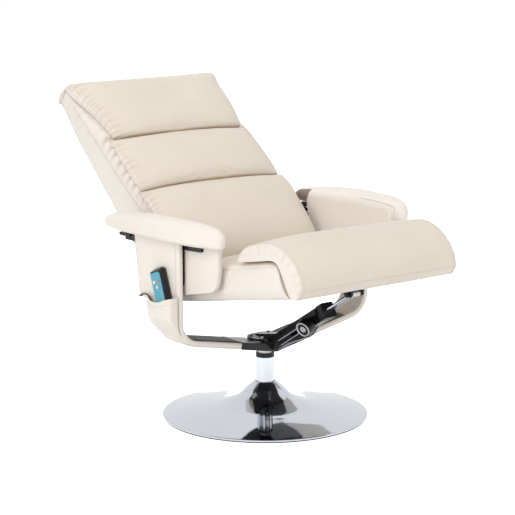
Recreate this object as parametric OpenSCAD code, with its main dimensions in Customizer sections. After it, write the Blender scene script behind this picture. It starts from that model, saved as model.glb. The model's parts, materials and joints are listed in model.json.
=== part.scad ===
// Massage recliner on a round swivel base.
// Origin on the floor under the column, front towards -Y, sitter's right at -X, millimetres.
// Every local frame keeps the front towards its own -Y, so a tilt is one turn about X.

/* [Base] */
// Diameter of the round base
base_d = 560; // [480:10:640]
// Height of the trumpet's neck above the floor
neck_h = 97; // [84:1:110]
// Sheet thickness of the chromed base
shell_t = 2.5; // [2:0.5:3.5]
// Thickness of the plastic bottom cover
bottom_t = 3; // [2:0.5:5]
// Diameter of the steel ballast plate
ballast_d = 330; // [240:10:340]
// Thickness of the steel ballast plate
ballast_t = 8; // [5:1:10]
// Outer diameter of the column tube
column_d = 50; // [46:1:54]
// Wall of the column tube
column_wall = 2.5; // [2:0.5:4]
// Height of the column tube's top above the floor
column_h = 165; // [150:1:190]
// Diameter of the turning spindle
spindle_d = 25; // [20:1:28]

/* [Frame] */
// Thickness of the leather-covered frame band
band_t = 20; // [16:1:24]
// Thickness of the steel bar inside the band
bar_t = 8; // [6:1:9]
// Depth of the band where it passes under the seat
band_depth = 98; // [94:1:120]
// Depth of the band's side at its top
side_depth = 200; // [180:1:210]
// Centre-line radius of the band's lower corners
band_r = 62; // [50:1:75]
// Rise of the band from the hub outwards, in degrees
band_dip = 11; // [8:1:13]
// Half length of the black channel at the hub
hub_half = 118; // [105:1:130]
// Thickness of the steel side plates under the arms
plate_t = 8; // [5:0.5:9]

/* [Arms] */
// Width of an arm pad across
pad_w = 100; // [90:1:115]
// Thickness of an arm pad
pad_t = 56; // [46:1:66]
// Length of an arm pad
pad_len = 446; // [400:2:470]
// Thickness of the leather panel inside each arm
panel_t = 14; // [10:1:16]
// Running gap between the seat and an arm panel
arm_gap = 18; // [14:1:26]

/* [Guide] */
// Slope of the guide arm, in degrees
guide_slope = 31.5; // [30:0.5:33]
// Travel of the seat along the guide
guide_travel = 80; // [50:1:84]
// Distance of the rods' upper pivot along the guide
guide_reach = 425; // [418:1:432]
// Length of the guide arm to its collar
arm_reach = 284; // [276:1:290]
// Length of the plastic collar
collar_l = 24; // [18:1:28]
// Diameter of each chromed rod
rod_d = 9; // [7:0.5:10]
// Distance between the two rods
rod_pitch = 17; // [14:0.5:18]
// Diameter of the clamping knob
knob_d = 46; // [38:1:50]
// Height of the clamping knob
knob_h = 28; // [22:1:34]
// Diameter of the knob's threaded stud
stud_d = 8; // [6:0.5:9]

/* [Seat] */
// Width of the seat
seat_w = 536; // [500:2:560]
// Depth of the seat pad from its rear edge to its front
seat_depth = 484; // [470:2:500]
// Thickness of the seat at its sides
seat_t = 97; // [88:1:106]
// Crown of the seat above its sides
seat_crown = 10; // [4:1:14]
// Upward tilt of the seat in the reclined pose, in degrees
seat_tilt = 10.3; // [9:0.1:12]
// Thickness of the front roll above the seat
roll_t = 48; // [40:1:56]
// Thickness of the seat's timber frame
board_t = 18; // [15:1:20]

/* [Back] */
// Distance by which the back is narrower than the seat at each side
back_inset = 18; // [10:1:30]
// Height of the back along its lean
back_h = 575; // [540:1:600]
// Lean of the back from upright in the reclined pose, in degrees
back_lean = 44; // [40:0.5:46]
// Depth of the back's foam core
core_d = 118; // [108:1:126]
// Crown of the lumbar cushion in front of the core
lumbar_crown = 46; // [36:1:52]
// Crown of the middle cushion in front of the core
middle_crown = 42; // [32:1:48]
// Crown of the head cushion in front of the core
head_crown = 50; // [38:1:56]
// Diameter of the pivot pins
pin_d = 12; // [10:0.5:14]

/* [Handset] */
// Length of the handset
handset_l = 132; // [126:1:146]
// Width of the handset
handset_w = 50; // [44:1:54]
// Thickness of the handset
handset_t = 23; // [20:1:26]
// Lean of the handset in its pocket, in degrees
handset_lean = 19; // [14:1:22]
// Travel of the handset out of its pocket
handset_lift = 60; // [40:1:70]
// Travel of each button
key_travel = 1.2; // [0.8:0.1:1.6]

/* [Hidden] */
$fn = 64;

// Fits and small clearances
fit = 0.08;
slack = 0.3;
cut = 20;

// Colours
cream = "#ece4d8";
cream_side = "#f5efe6";
black = "#1a1a1d";
steel = "#8a8d92";
chrome = "#d5d9e0";
teal = "#4aa3bd";

// Base
rim_h = 8;
neck_wall_gap = 0.4;
neck_r = column_d / 2 + neck_wall_gap + shell_t;
base_r = base_d / 2;
dish_r_shares = [1, 0.72, 0.5, 0.36, 0.2, 0.09, 0.03, 0];
dish_z_shares = [0, 0.12, 0.22, 0.31, 0.5, 0.8, 0.94, 1];
cap_h = 11;
cap_lip = 0.6;
cap_step = 1;
spigot_h = 20;
bush_h = 22;
bush_z = bottom_t + ballast_t + 24;
washer_t = 3;
washer_wide = 7;
hub_gap = 8;

// Band
hub_z = column_h + cap_h + washer_t + hub_gap + band_t / 2 / cos(band_dip);
band_front = 52;
seat_half = seat_w / 2;
panel_in = seat_half + arm_gap + 4;
panel_out = panel_in + panel_t;
plate_in = panel_out + slack;
plate_out = plate_in + plate_t;
band_in = plate_out + slack;
band_out = band_in + band_t;
band_mid = (band_in + band_out) / 2;
bar_depth = band_depth - 16;
bar_front = band_front - 8;
arc_x = band_mid - band_r;
arc_z = hub_z + (arc_x + band_r * sin(band_dip)) * tan(band_dip) + band_r * cos(band_dip);
corner_steps = 6;

// Guide frame: its origin is on the column's axis below the hub
guide_drop = 18;
guide_z = hub_z - guide_drop;
arm_half = 24;
arm_half_low = 14;
arm_top = 17;
arm_low = -20;
arm_bend = 2;
arm_wall = 4;
arm_back = 52;
side_turn = atan2(arm_half - arm_half_low, arm_bend - arm_low);
side_mid_x = (arm_half + arm_half_low) / 2;
side_mid_n = (arm_bend + arm_low) / 2;
collar_half = 21;
collar_corner = 5;
knob_s = 240;
block_l = 44;
rail_t = 3;
rail_w = 16;
rail_tail = 68;
stud_gap = 0.6;
knob_gap = 1;
head_r = 9;
head_half = 15;
head_flat = 2;
pivot_d = 10;

// Seat frame: its origin is on the underside at the rear edge of the pad
pivot_set = 68;
pivot_a = seat_depth - pivot_set;
pivot_b = -18;
hinge_a = -96;
hinge_b = 32;
board_half = seat_half - 26;
rail_half_out = seat_half - 30;
hinge_plate_t = 8;
hinge_eye_r = 15;

// Back frame: its origin is on the rear surface above the seat hinge
hinge_v = -115;
hinge_w = 1;
pivot_v = 21;
pivot_w = 82;
back_half = seat_half - back_inset;
back_low = -16;
seam_gap = 0.4;

// Places worked out from the linkage
seat_pivot = [0, -guide_reach * cos(guide_slope), guide_z + guide_reach * sin(guide_slope)];
seat_origin = seat_pivot - turned(-seat_tilt, -pivot_a, pivot_b);
hinge_at = seat_origin + turned(-seat_tilt, -hinge_a, hinge_b);
back_origin = hinge_at - turned(-back_lean, -hinge_w, hinge_v);
back_pivot = back_origin + turned(-back_lean, -pivot_w, pivot_v);

// Arms
bar_drop = 20;
pad_low = back_pivot[2] + bar_drop + slack;
panel_top = pad_low - slack;
band_top = pad_low - slack;
pad_over = 2;
pad_out = panel_in - pad_over + pad_w;
pad_front = 216;
bush_wall = 3;
bush_bore = pin_d / 2 + 3.6;
plate_front = 124;
plate_leg = 96;

// Handset and pocket
pocket_wall = 3;
pocket_top = arc_z + 72;
pocket_low = arc_z - 4;
pocket_room = handset_t + 5;
pocket_face = band_out + slack;
pocket_out = pocket_face + pocket_room + pocket_wall;
pocket_back = band_depth - band_front + 34;
handset_y = -23;
handset_foot_z = pocket_low + 20;
case_r = 7;
face_t = 1.6;
key_h = 1.6;
key_gap = 0.35;
cord_d = 4;
cord_sides = 8;
// The cord's route in the reclined pose, chosen by hand: out of the handset's foot, along the
// pocket's floor, over its rim, round the band's rear edge and into the socket
cord_route = [
    [-347, -30.7, 329.2], [-347, -32.6, 323], [-347, -31, 317], [-347, -25, 313.8], [-347, -15, 313],
    [-347, -4, 313.1], [-346.8, 8, 313.5], [-346.2, 20, 315], [-345.4, 30, 319], [-344.6, 38, 326],
    [-344, 44, 335], [-344, 48, 345], [-344, 52, 355], [-343.8, 57, 364], [-343, 65, 370],
    [-342, 75, 372], [-340.5, 86, 371], [-339, 97, 368.5], [-338, 107, 364.5], [-335.8, 114.5, 361],
    [-330, 118.5, 359], [-322.5, 119.5, 358.3], [-315, 118, 358.3], [-309, 112, 359],
    [-306, 103, 360], [-305, 93, 359.5], [-304.9, 84, 354], [-305, 77, 346], [-305.2, 71, 340],
    [-305.3, 66.4, 338]
];

// Turns [0, y, z] about X, as the local frames are turned
function turned(angle, y, z) = [0, y * cos(angle) - z * sin(angle), y * sin(angle) + z * cos(angle)];

// A smooth open curve through hand-chosen points, steps a span
function blend4(a, b, c, d, t) =
    0.5 * (2 * b + (c - a) * t + (2 * a - 5 * b + 4 * c - d) * t * t + (3 * b - a - 3 * c + d) * t * t * t);
function smooth(p, steps) = concat(
    [for (i = [0:len(p) - 2], k = [0:steps - 1])
        blend4(p[max(i - 1, 0)], p[i], p[i + 1], p[min(i + 2, len(p) - 1)], k / steps)],
    [p[len(p) - 1]]);

// An outline with its corners rounded: each corner is [x, y, radius]
function unit2(v) = v / norm(v);
function corner_arc(a, b, c, r, steps) =
    let (u = unit2([a[0] - b[0], a[1] - b[1]]), w = unit2([c[0] - b[0], c[1] - b[1]]))
    let (half = acos(u * w) / 2, reach = r / tan(half), mid = unit2(u + w))
    let (o = [b[0], b[1]] + mid * (r / sin(half)), p = [b[0], b[1]] + u * reach, q = [b[0], b[1]] + w * reach)
    let (p0 = p - o, turn = sign(u[0] * w[1] - u[1] * w[0]) * -(180 - 2 * half))
    r <= 0 ? [[b[0], b[1]]] :
    [for (k = [0:steps]) let (g = turn * k / steps)
        o + [p0[0] * cos(g) - p0[1] * sin(g), p0[0] * sin(g) + p0[1] * cos(g)]];
function rounded(p) = let (n = len(p))
    [for (i = [0:n - 1]) each corner_arc(p[(i + n - 1) % n], p[i], p[(i + 1) % n], p[i][2], corner_steps)];

// A closed soft form through cross-sections. Each section is an upper chain and a lower chain
// of equal length, both from rear to front, so the ends close with strips between the chains.
module soft_form(sections) {
    m = len(sections[0]);
    n = len(sections);
    h = m / 2;
    points = [for (s = sections) each s];
    wall = [for (i = [0:n - 2], j = [0:m - 1]) let (a = i * m + j, b = i * m + (j + 1) % m)
        each [[a, b, b + m], [a, b + m, a + m]]];
    first = [for (j = [0:h - 2]) let (a = j, b = j + 1, c = m - 2 - j, d = m - 1 - j)
        each [[a, d, c], [a, c, b]]];
    last = [for (j = [0:h - 2]) let (o = (n - 1) * m, a = o + j, b = o + j + 1, c = o + m - 2 - j,
        d = o + m - 1 - j)
        each [[a, c, d], [a, b, c]]];
    polyhedron(points, concat(wall, first, last));
}

// How full a crowned form stands at a share of its half width
function fullness(t, power) = pow(max(0, 1 - pow(abs(t), power)), 1 / power);
station_shares = [-1, -0.985, -0.95, -0.88, -0.75, -0.5, -0.2, 0.2, 0.5, 0.75, 0.88, 0.95, 0.985, 1];

// Plain flat parts
module across(half) rotate([90, 0, 90]) translate([0, 0, -half]) linear_extrude(2 * half) children();
module side_slab(x0, x1) rotate([90, 0, 90]) translate([0, 0, x0]) linear_extrude(x1 - x0) children();
module front_slab(y0, y1) translate([0, y1, 0]) rotate([90, 0, 0]) linear_extrude(y1 - y0) children();
module guide_frame() translate([0, 0, guide_z]) rotate([-guide_slope, 0, 0]) children();
module seat_frame_at() translate(seat_origin) rotate([-seat_tilt, 0, 0]) children();
module back_frame_at() translate(back_origin) rotate([-back_lean, 0, 0]) children();
module left_too() { children(); mirror([1, 0, 0]) children(); }
module pin_x(r, x0, x1) translate([x0, 0, 0]) rotate([0, 90, 0]) cylinder(r = r, h = x1 - x0);

// Base

function dish_points(inset) = let (span = base_r - neck_r)
    smooth([for (i = [0:len(dish_r_shares) - 1])
        [neck_r + span * dish_r_shares[i] - inset * dish_z_shares[i],
         rim_h + (neck_h - rim_h) * dish_z_shares[i] - inset * (1 - dish_z_shares[i])]], 4);

module bottom_cover() color(black)
    cylinder(r = base_r - shell_t, h = bottom_t);

module ballast_plate() color(steel)
    translate([0, 0, bottom_t]) cylinder(d = ballast_d, h = ballast_t);

module base_shell() color(chrome) rotate_extrude($fn = 128) {
    outer = dish_points(0);
    inner = dish_points(shell_t);
    n = len(inner);
    polygon(concat([[base_r, bottom_t]], outer,
        [for (i = [1:n]) inner[n - i]], [[base_r - shell_t, bottom_t]]));
}

module column_tube() color(chrome) difference() {
    foot = bottom_t + ballast_t;
    translate([0, 0, foot]) cylinder(d = column_d, h = column_h - foot);
    translate([0, 0, foot - cut]) cylinder(d = column_d - 2 * column_wall, h = column_h + 2 * cut);
}

module bush(z0, h) difference() {
    translate([0, 0, z0]) cylinder(d = column_d - 2 * column_wall, h = h);
    translate([0, 0, z0 - cut]) cylinder(r = spindle_d / 2 + fit, h = h + 2 * cut);
}

module lower_bush() color("white") bush(bush_z, bush_h);

module column_cap() color(black) union() {
    bush(column_h - spigot_h, spigot_h + cap_h);
    difference() {
        translate([0, 0, column_h]) cylinder(d = column_d + 2 * cap_lip, h = cap_h);
        translate([0, 0, column_h - cut])
            cylinder(d = column_d - 2 * column_wall - cap_step, h = cap_h + 2 * cut);
    }
}

module thrust_washer() color(steel) translate([0, 0, column_h + cap_h]) difference() {
    cylinder(r = spindle_d / 2 + washer_wide, h = washer_t);
    translate([0, 0, -cut]) cylinder(r = spindle_d / 2 + fit, h = washer_t + 2 * cut);
}

// Swivelling frame

bolt_r = 3;
bolt_head_r = 5.5;
bolt_head_h = 4;
hub_plate_x = 49;
hub_plate_y = 41;
hub_plate_r = 36;
hub_bolt_x = 31;
hub_bolt_y = 24;
plate_z = hub_z + (hub_plate_x + slack) * tan(band_dip) + band_t / 2 / cos(band_dip);
hub_plate_t = 6;
channel_short = 10;
bolt_play = 1;
collar_r = spindle_d / 2 + washer_wide;

module spindle() color(steel) union() {
    foot = bottom_t + ballast_t + slack;
    translate([0, 0, foot]) cylinder(d = spindle_d, h = plate_z - foot);
    translate([0, 0, column_h + cap_h + washer_t]) cylinder(r = collar_r, h = hub_gap);
}

// The band seen from the front: a line d outside its centre line, from x0 up to its corner's end
band_steps = 20;
function band_line(d, x) = hub_z + x * tan(band_dip) - d / cos(band_dip);
function band_edge(d, x0, top) = let (x = band_mid + d)
    concat([[x0, band_line(d, x0)]],
        corner_arc([x0, band_line(d, x0)], [x, band_line(d, x)], [x, top], band_r + d, band_steps),
            [[x, top]]);
function turned_over(p) = [for (i = [1:len(p)]) p[len(p) - i]];
// Half of the band, a strip o outside and i inside the centre line
function band_half(o, i, x0, top) = concat(band_edge(o, x0, top), turned_over(band_edge(-i, x0, top)));
function both_sides(p) = concat(p, [for (i = [2:len(p) - 1]) [-p[len(p) - i][0], p[len(p) - i][1]]]);
module band_strip(o, i, x0, top) polygon(band_half(o, i, x0, top));
module whole_band(o, i, top) polygon(both_sides(band_half(o, i, 0, top)));
module hub_strip(o, i, x) polygon(both_sides([
    [0, band_line(o, 0)], [x, band_line(o, x)], [x, band_line(-i, x)], [0, band_line(-i, 0)]]));

module u_frame() color(black) difference() {
    front_slab(-bar_front, bar_depth - bar_front) whole_band(bar_t / 2, bar_t / 2, band_top - cut);
    translate([0, 0, hub_z - cut]) cylinder(r = spindle_d / 2 + slack, h = 2 * cut);
    plate_bolts_at() pin_x(bolt_r + slack, plate_in - cut, band_out + cut);
}

module hub_channel() color(black) difference() {
    front_slab(-arm_back, arm_back - channel_short) hub_strip(band_t / 2, band_t / 2, hub_half);
    front_slab(-bar_front - slack, bar_depth - bar_front + slack)
        hub_strip(bar_t / 2 + slack, bar_t / 2 + slack, hub_half + cut);
    translate([0, 0, hub_z - 2 * cut]) cylinder(r = spindle_d / 2 + slack, h = 4 * cut);
    hub_bolts_at() translate([0, 0, -4 * cut]) cylinder(r = bolt_r + slack, h = 8 * cut);
}

module hub_bolts_at() for (sx = [-1, 1], sy = [-1, 1])
    translate([sx * hub_bolt_x, sy * hub_bolt_y, plate_z]) children();

module hub_plate() color(black) translate([0, 0, plate_z]) difference() {
    linear_extrude(hub_plate_t) polygon(rounded([
        [-hub_plate_x, -hub_plate_y, hub_plate_r], [hub_plate_x, -hub_plate_y, hub_plate_r],
        [hub_plate_x, hub_plate_y, hub_plate_r], [-hub_plate_x, hub_plate_y, hub_plate_r]]));
    translate([0, 0, -plate_z]) hub_bolts_at() translate([0, 0, -cut])
        cylinder(r = bolt_r + slack, h = 3 * cut);
}

module hub_bolts() color(steel) hub_bolts_at() union() {
    translate([0, 0, hub_plate_t]) cylinder(r = bolt_head_r, h = bolt_head_h, $fn = 24);
    translate([0, 0, -bolt_grip]) cylinder(r = bolt_r, h = bolt_grip + hub_plate_t);
}
bolt_grip = plate_z - hub_z - hub_bolt_x * tan(band_dip) - bar_t / 2 / cos(band_dip) - bolt_play;

// Guide arm: local -Y runs up the slope, local Z is square to it

function arm_section(wall) = [
    [-arm_half + wall, arm_top - wall], [-arm_half + wall, arm_bend],
    [-arm_half_low + wall, arm_low + wall], [arm_half_low - wall, arm_low + wall],
    [arm_half - wall, arm_bend], [arm_half - wall, arm_top - wall]];

// The web under the arm, [forward, up] as shares of the arm's reach, and the tongue over the hub plate
web_shares = [[0.609, 0.176], [0.662, 0.211], [0.754, 0.324]];
web_in = 1;
web_low = 4;
web_high = 14;
tongue_l = 34;
tongue_rise = 22;
tongue_low = 8;
tongue_drop = 10;
tongue_end = 16;
tongue_edge = 2;

module guide_arm() color(black) difference() {
    union() {
        difference() {
            guide_frame() front_slab(-arm_reach, cut) polygon(arm_section(0));
            translate([-base_r, -arm_back, -base_r]) cube([base_d, base_d, 2 * base_d]);
            translate([-base_r, -2 * base_d, hub_z - 2 * base_d]) cube([base_d, 2 * base_d, 2 * base_d]);
        }
        side_slab(-arm_half_low + web_in, arm_half_low - web_in) polygon(concat(
            [[-arm_back, hub_z + web_low]],
            [for (g = web_shares) [-arm_reach * g[0], hub_z + arm_reach * g[1]]],
            [[-arm_back, hub_z + web_high]]));
        side_slab(-arm_half_low, arm_half_low) polygon([
            [-arm_back - tongue_l, plate_z + hub_plate_t + tongue_rise],
            [-arm_back - tongue_l, plate_z + tongue_low],
            [-arm_back, plate_z - tongue_drop], [-arm_back, plate_z + hub_plate_t],
            [hub_plate_y - tongue_end, plate_z + hub_plate_t],
            [hub_plate_y - tongue_end, plate_z + hub_plate_t + tongue_edge]]);
    }
    guide_frame() front_slab(-arm_reach - cut, -cavity_s) polygon(arm_section(arm_wall));
    side_face_at(0) translate([-stud_d / 2 - stud_gap, 0, -cut])
        cube([stud_d + 2 * stud_gap, slot_l, 2 * cut]);
}

block_play = 8;
slot_play = 5;
cavity_s = knob_s - guide_travel - block_l / 2 - block_play;
slot_l = guide_travel + stud_d + slot_play;

// The tilted lower side face on the sitter's right, with its local Z outwards and its origin
// at the upper end of the slot
module side_face_at(lift) guide_frame()
    translate([-side_mid_x, -knob_s - stud_d / 2 - slot_play / 2, side_mid_n])
    rotate([0, -90 - side_turn, 0]) translate([0, 0, lift]) children();

module rail_outline() translate([-rail_w / 2, -rail_head]) square([rail_w, slot_l + rail_head + rail_tail]);

module clamp_rail() color(chrome) side_face_at(slack) difference() {
    union() {
        linear_extrude(rail_t) rail_outline();
        for (k = [0:rib_count - 1]) translate([-rail_w / 2 + rib_in, (k + 1) * rib_pitch, rail_t])
            cube([rail_w - 2 * rib_in, rib_pitch / 2, rib_h]);
    }
    translate([-stud_d / 2 - stud_gap, 0, -cut]) cube([stud_d + 2 * stud_gap, slot_l, 3 * cut]);
}
rail_head = 8;
rib_in = 3;
rib_pitch = 4;
rib_h = 0.8;
rib_count = floor((slot_l + rail_tail) / rib_pitch) - 2;

module arm_collar() color(black) guide_frame() difference() {
    front_slab(-arm_reach - collar_l, -arm_reach) polygon(rounded([
        [-collar_half, collar_half, collar_corner], [-collar_half, -collar_half, collar_corner],
        [collar_half, -collar_half, collar_corner], [collar_half, collar_half, collar_corner]]));
    for (sx = [-1, 1]) translate([sx * rod_pitch / 2, -arm_reach + cut, 0])
        rotate([90, 0, 0]) cylinder(r = rod_d / 2 + fit, h = collar_l + 2 * cut);
}

// Leather covers over the band

// The cover's rear edge from the arm down to the band: [rearward, up, corner radius], as shares of
// the side's widening and of the lower corner's radius
side_rear = side_depth - band_front;
strap_rear = band_depth - band_front;
side_edge_shares = [[0.784, 0.968, 0.226], [0.627, 0.758, 0.129], [0.392, 0.694, 0.129],
    [0.343, 0.226, 0.323], [0.216, -0.226, 0.323], [0, -0.71, 0.323]];
module side_outline() polygon(rounded(concat(
    [[-band_front, 0, 0], [-band_front, band_top, 0], [side_rear, band_top, 0]],
    [for (g = side_edge_shares)
        [strap_rear + (side_rear - strap_rear) * g[0], arc_z + band_r * g[1], band_r * g[2]]],
    [[strap_rear, 0, 0]])));

module band_cover() difference() {
    intersection() {
        front_slab(-band_front, side_depth) band_strip(band_t / 2, band_t / 2, hub_half + slack, band_top);
        side_slab(0, band_out + cut) side_outline();
    }
    front_slab(-bar_front - slack, bar_depth - bar_front + slack)
        band_strip(bar_t / 2 + slack, bar_t / 2 + slack, 0, band_top - cut + slack);
    plate_bolts_at() pin_x(bolt_r + slack, 0, band_mid + bar_t / 2);
}

module right_band_cover() color(cream_side) mirror([1, 0, 0]) band_cover();
module left_band_cover() color(cream_side) band_cover();

// Steel plates inside the band that carry the pads and the back

bolt_y_shares = [-0.58, 0.2];
bolt_drop = 20;
bolt_z_shares = [0, 0.73];
module plate_bolts_at() for (sx = [0, 1]) mirror([sx, 0, 0]) for (y = bolt_y_shares, z = bolt_z_shares)
    translate([0, y * band_front, back_pivot[2] - bolt_drop - z * plate_leg]) children();

// The plate's lower edge: a block at the front, a leg inside the band, a rail to the back's pivot
// and a thin tail behind it
block_t = 24;
block_step = 4;
leg_in = 8;
leg_foot = 30;
leg_y = 30;
leg_knee_y = 70;
rail_drop = 37;
tail_l = 52;
tail_top = 20;
tail_low = 29;
corner_small = 4;
corner_mid = 12;
corner_big = 20;
module side_plate() difference() {
    rest_y = back_pivot[1];
    top = pad_low - slack;
    side_slab(plate_in, plate_out) polygon(rounded([
        [-plate_front, top, 0], [-plate_front, top - block_t, corner_small],
        [-band_front + leg_in, top - block_t - block_step, corner_small],
        [-band_front + leg_in, top - leg_foot - plate_leg, corner_mid],
            [leg_y, top - leg_foot - plate_leg, corner_big],
        [leg_knee_y, top - rail_drop, corner_big], [rest_y + block_t, top - rail_drop, corner_small],
        [rest_y + block_t, top - tail_low, 0], [rest_y + tail_l, top - tail_low, corner_small],
        [rest_y + tail_l, top - tail_top, corner_small], [rest_y + block_t, top - tail_top, 0],
            [rest_y + block_t, top, 0]]));
    translate(back_pivot) pin_x(bush_bore + bush_wall, plate_in - cut, plate_out + cut);
    plate_bolts_at() bolt_shape(slack, cut);
}

// A countersunk bolt along X, its head flush with the plate's inner face
module bolt_shape(gap, past) union() {
    pin_x(bolt_r + gap, plate_in - past, band_mid + bar_t / 2 + past);
    translate([plate_in, 0, 0]) rotate([0, 90, 0])
        cylinder(r1 = bolt_head_r + gap, r2 = bolt_r + gap, h = bolt_head_h);
}

module arm_bolts() color(steel) plate_bolts_at() bolt_shape(0, 0);

module right_side_plate() color(black) mirror([1, 0, 0]) side_plate();
module left_side_plate() color(black) side_plate();

module pivot_bushes() color("white") left_too() translate(back_pivot) difference() {
    pin_x(bush_bore + bush_wall, plate_in, plate_out);
    pin_x(bush_bore, plate_in - cut, plate_out + cut);
}

// Arm panels and pads

// The panel's outline: [y, down, corner radius], as shares of the pad's length and the panel's drop
panel_drop = 180;
panel_shares = [[-0.413, 0, 0], [-0.41, 0.344, 0.167], [-0.386, 0.678, 0.244],
    [0.233, 1, 0.222], [0.354, 0.189, 0.167], [0.363, 0, 0]];
module arm_panel() side_slab(panel_in, panel_out) polygon(rounded(
    [for (g = panel_shares) [g[0] * pad_len, panel_top - g[1] * panel_drop, g[2] * panel_drop]]));

module right_arm_panel() color(cream_side) mirror([1, 0, 0]) arm_panel();
module left_arm_panel() color(cream_side) arm_panel();

// An arm pad: sections along Y, each from the inner edge over the top to the outer edge
pad_y_shares = [0, 0.011, 0.038, 0.071, 0.17, 0.287, 0.426, 0.574, 0.72, 0.843, 0.924, 0.978, 1];
pad_top_shares = [0.4, 0.6, 0.76, 0.86, 0.97, 1, 1, 0.97, 0.91, 0.81, 0.7, 0.6, 0.44];
pad_low_shares = [0.08, -0.03, -0.05, 0, 0, 0, 0, 0, 0, 0, 0.01, 0.05, 0.14];
pad_wide_shares = [0.32, 0.4, 0.52, 0.63, 0.84, 0.95, 1, 1.02, 1.02, 1, 0.92, 0.8, 0.6];
pad_in_shares = [0.2, 0.13, 0.07, 0.03, 0, 0, 0, 0, 0, 0, 0, 0.03, 0.13];
pad_arc = [for (k = [0:9]) 180 - 20 * k];
pad_power = 0.62;
belly_share = 0.45;
foot_share = 0.96;
function soft_cos(g) = sign(cos(g)) * pow(abs(cos(g)), pad_power);
function soft_sin(g) = pow(abs(sin(g)), pad_power);
function pad_section(i) =
    let (y = -pad_front + pad_len * pad_y_shares[i], in = panel_in - pad_over + pad_w * pad_in_shares[i])
    let (out = panel_in - pad_over + pad_w * pad_wide_shares[i], low = pad_low + pad_t * pad_low_shares[i])
    let (top = pad_low + pad_t * pad_top_shares[i], mid = (in + out) / 2, half = (out - in) / 2)
    let (belly = low + (top - low) * belly_share)
    concat([for (g = pad_arc) [mid + half * soft_cos(g), y, belly + (top - belly) * soft_sin(g)]],
        [for (k = [0:9]) let (g = pad_arc[9 - k]) [mid + half * foot_share * soft_cos(g), y, low]]);

module arm_pad() soft_form([for (i = [0:len(pad_y_shares) - 1]) pad_section(i)]);

module right_arm_pad() color(cream_side) mirror([1, 0, 0]) arm_pad();
module left_arm_pad() color(cream_side) arm_pad();

// Pocket, socket and cord on the sitter's right

pocket_lip = 1;
pocket_corner = 10;
pocket_bend_y = 40;
pocket_bend_r = 30;
pocket_flare = 4;
function pocket_in(grow) = pocket_face - cut + (grow < 0 ? 0 : cut);
module pocket_plan(grow) polygon(rounded([
    [pocket_in(grow), -band_front - pocket_lip - grow, 0],
    [pocket_out + grow, -band_front - pocket_lip - grow, pocket_corner],
    [pocket_out + grow, pocket_bend_y, pocket_bend_r], [pocket_face + pocket_flare + grow,
        pocket_back + grow, 0],
    [pocket_in(grow), pocket_back + grow, 0]]));

// Heights of the pocket's rim from front to rear and its bends, as shares of the pocket's depth
rim_shares = [0.158, 0.053, -0.263, -0.447];
rim_bend_shares = [0.526, 0.789];
rim_y = 10;
module handset_pocket() color(cream_side) mirror([1, 0, 0]) intersection() {
    deep = pocket_top - pocket_low;
    difference() {
        translate([0, 0, pocket_low]) linear_extrude(pocket_top) pocket_plan(0);
        translate([0, 0, pocket_low + pocket_wall]) linear_extrude(pocket_top) pocket_plan(-pocket_wall);
    }
    side_slab(0, 2 * base_d) polygon(rounded([
        [-2 * band_front, pocket_low, 0], [-2 * band_front, pocket_top + deep * rim_shares[0], 0],
        [-band_front, pocket_top + deep * rim_shares[1], deep * rim_bend_shares[0]],
        [rim_y, pocket_top + deep * rim_shares[2], deep * rim_bend_shares[1]],
        [2 * band_depth, pocket_top + deep * rim_shares[3], 0], [2 * band_depth, pocket_low, 0]]));
}

socket_d = 14;
socket_l = 26;
socket_y = 40;
socket_z = 338;
module handset_socket() color(black) translate([-band_in + slack + socket_d / 2, socket_y, socket_z])
    rotate([-90, 0, 0]) cylinder(d = socket_d, h = socket_l);

// A tube with a ring at each route point
function cord_axis(p, i) = let (a = p[max(i - 1, 0)], b = p[min(i + 1, len(p) - 1)]) (b - a) / norm(b - a);
function cord_ring(p, i, up) = let (t = cord_axis(p, i), s = cross(up, t) / norm(cross(up, t)),
    w = cross(t, s))
    [for (k = [0:cord_sides - 1]) p[i] + cord_d / 2 * (s * cos(k * 360 / cord_sides)
        + w * sin(k * 360 / cord_sides))];
module cord_tube(p, up) {
    n = len(p);
    m = cord_sides;
    polyhedron([for (i = [0:n - 1]) each cord_ring(p, i, up)], concat(
        [for (i = [0:n - 2], j = [0:m - 1]) let (a = i * m + j, b = i * m + (j + 1) % m)
            each [[a, b, b + m], [a, b + m, a + m]]],
        [for (j = [1:m - 2]) [0, j + 1, j]],
        [for (j = [1:m - 2]) let (o = (n - 1) * m) [o, o + j, o + j + 1]]));
}

cord_up = [0.9, 0.1, 0.35];
module handset_cord() color(black) cord_tube(smooth(cord_route, 2), cord_up);

// Sliding rods and the knob

block_gap = 0.6;
function block_section() = [for (p = arm_section(arm_wall + block_gap)) p];

module slide_block() color(black) guide_frame() difference() {
    front_slab(-knob_s - block_l / 2, -knob_s + block_l / 2) polygon(block_section());
    stud_axis() translate([0, 0, -cut]) cylinder(r = stud_d / 2 + fit, h = 4 * cut);
}

module stud_axis() translate([-side_mid_x, -knob_s, side_mid_n]) rotate([0, -90 - side_turn, 0]) children();

module slide_rods() color(chrome) guide_frame() for (sx = [-1, 1])
    translate([sx * rod_pitch / 2, -knob_s - block_l / 2, 0]) rotate([90, 0, 0])
    cylinder(d = rod_d, h = guide_reach - head_r - knob_s - block_l / 2);

module rod_head() color(steel) guide_frame() translate([0, -guide_reach, 0]) difference() {
    union() {
        pin_x(head_r, -head_half, head_half);
        translate([-head_half, 0, -head_r + head_flat])
            cube([2 * head_half, head_r, 2 * (head_r - head_flat)]);
    }
    pin_x(pivot_d / 2 + fit, -head_half - cut, head_half + cut);
}

knob_foot = slack + rail_t + rib_h + knob_gap;
ring_t = 2;
ring_h = 1.2;

ring_in = 2;
ring_sink = 0.8;
grip_in = 3;
waist_share = 0.3;
stud_share = 0.6;
stud_in = 16;
ring_foot = knob_foot + knob_h - ring_h - ring_sink;

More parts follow.
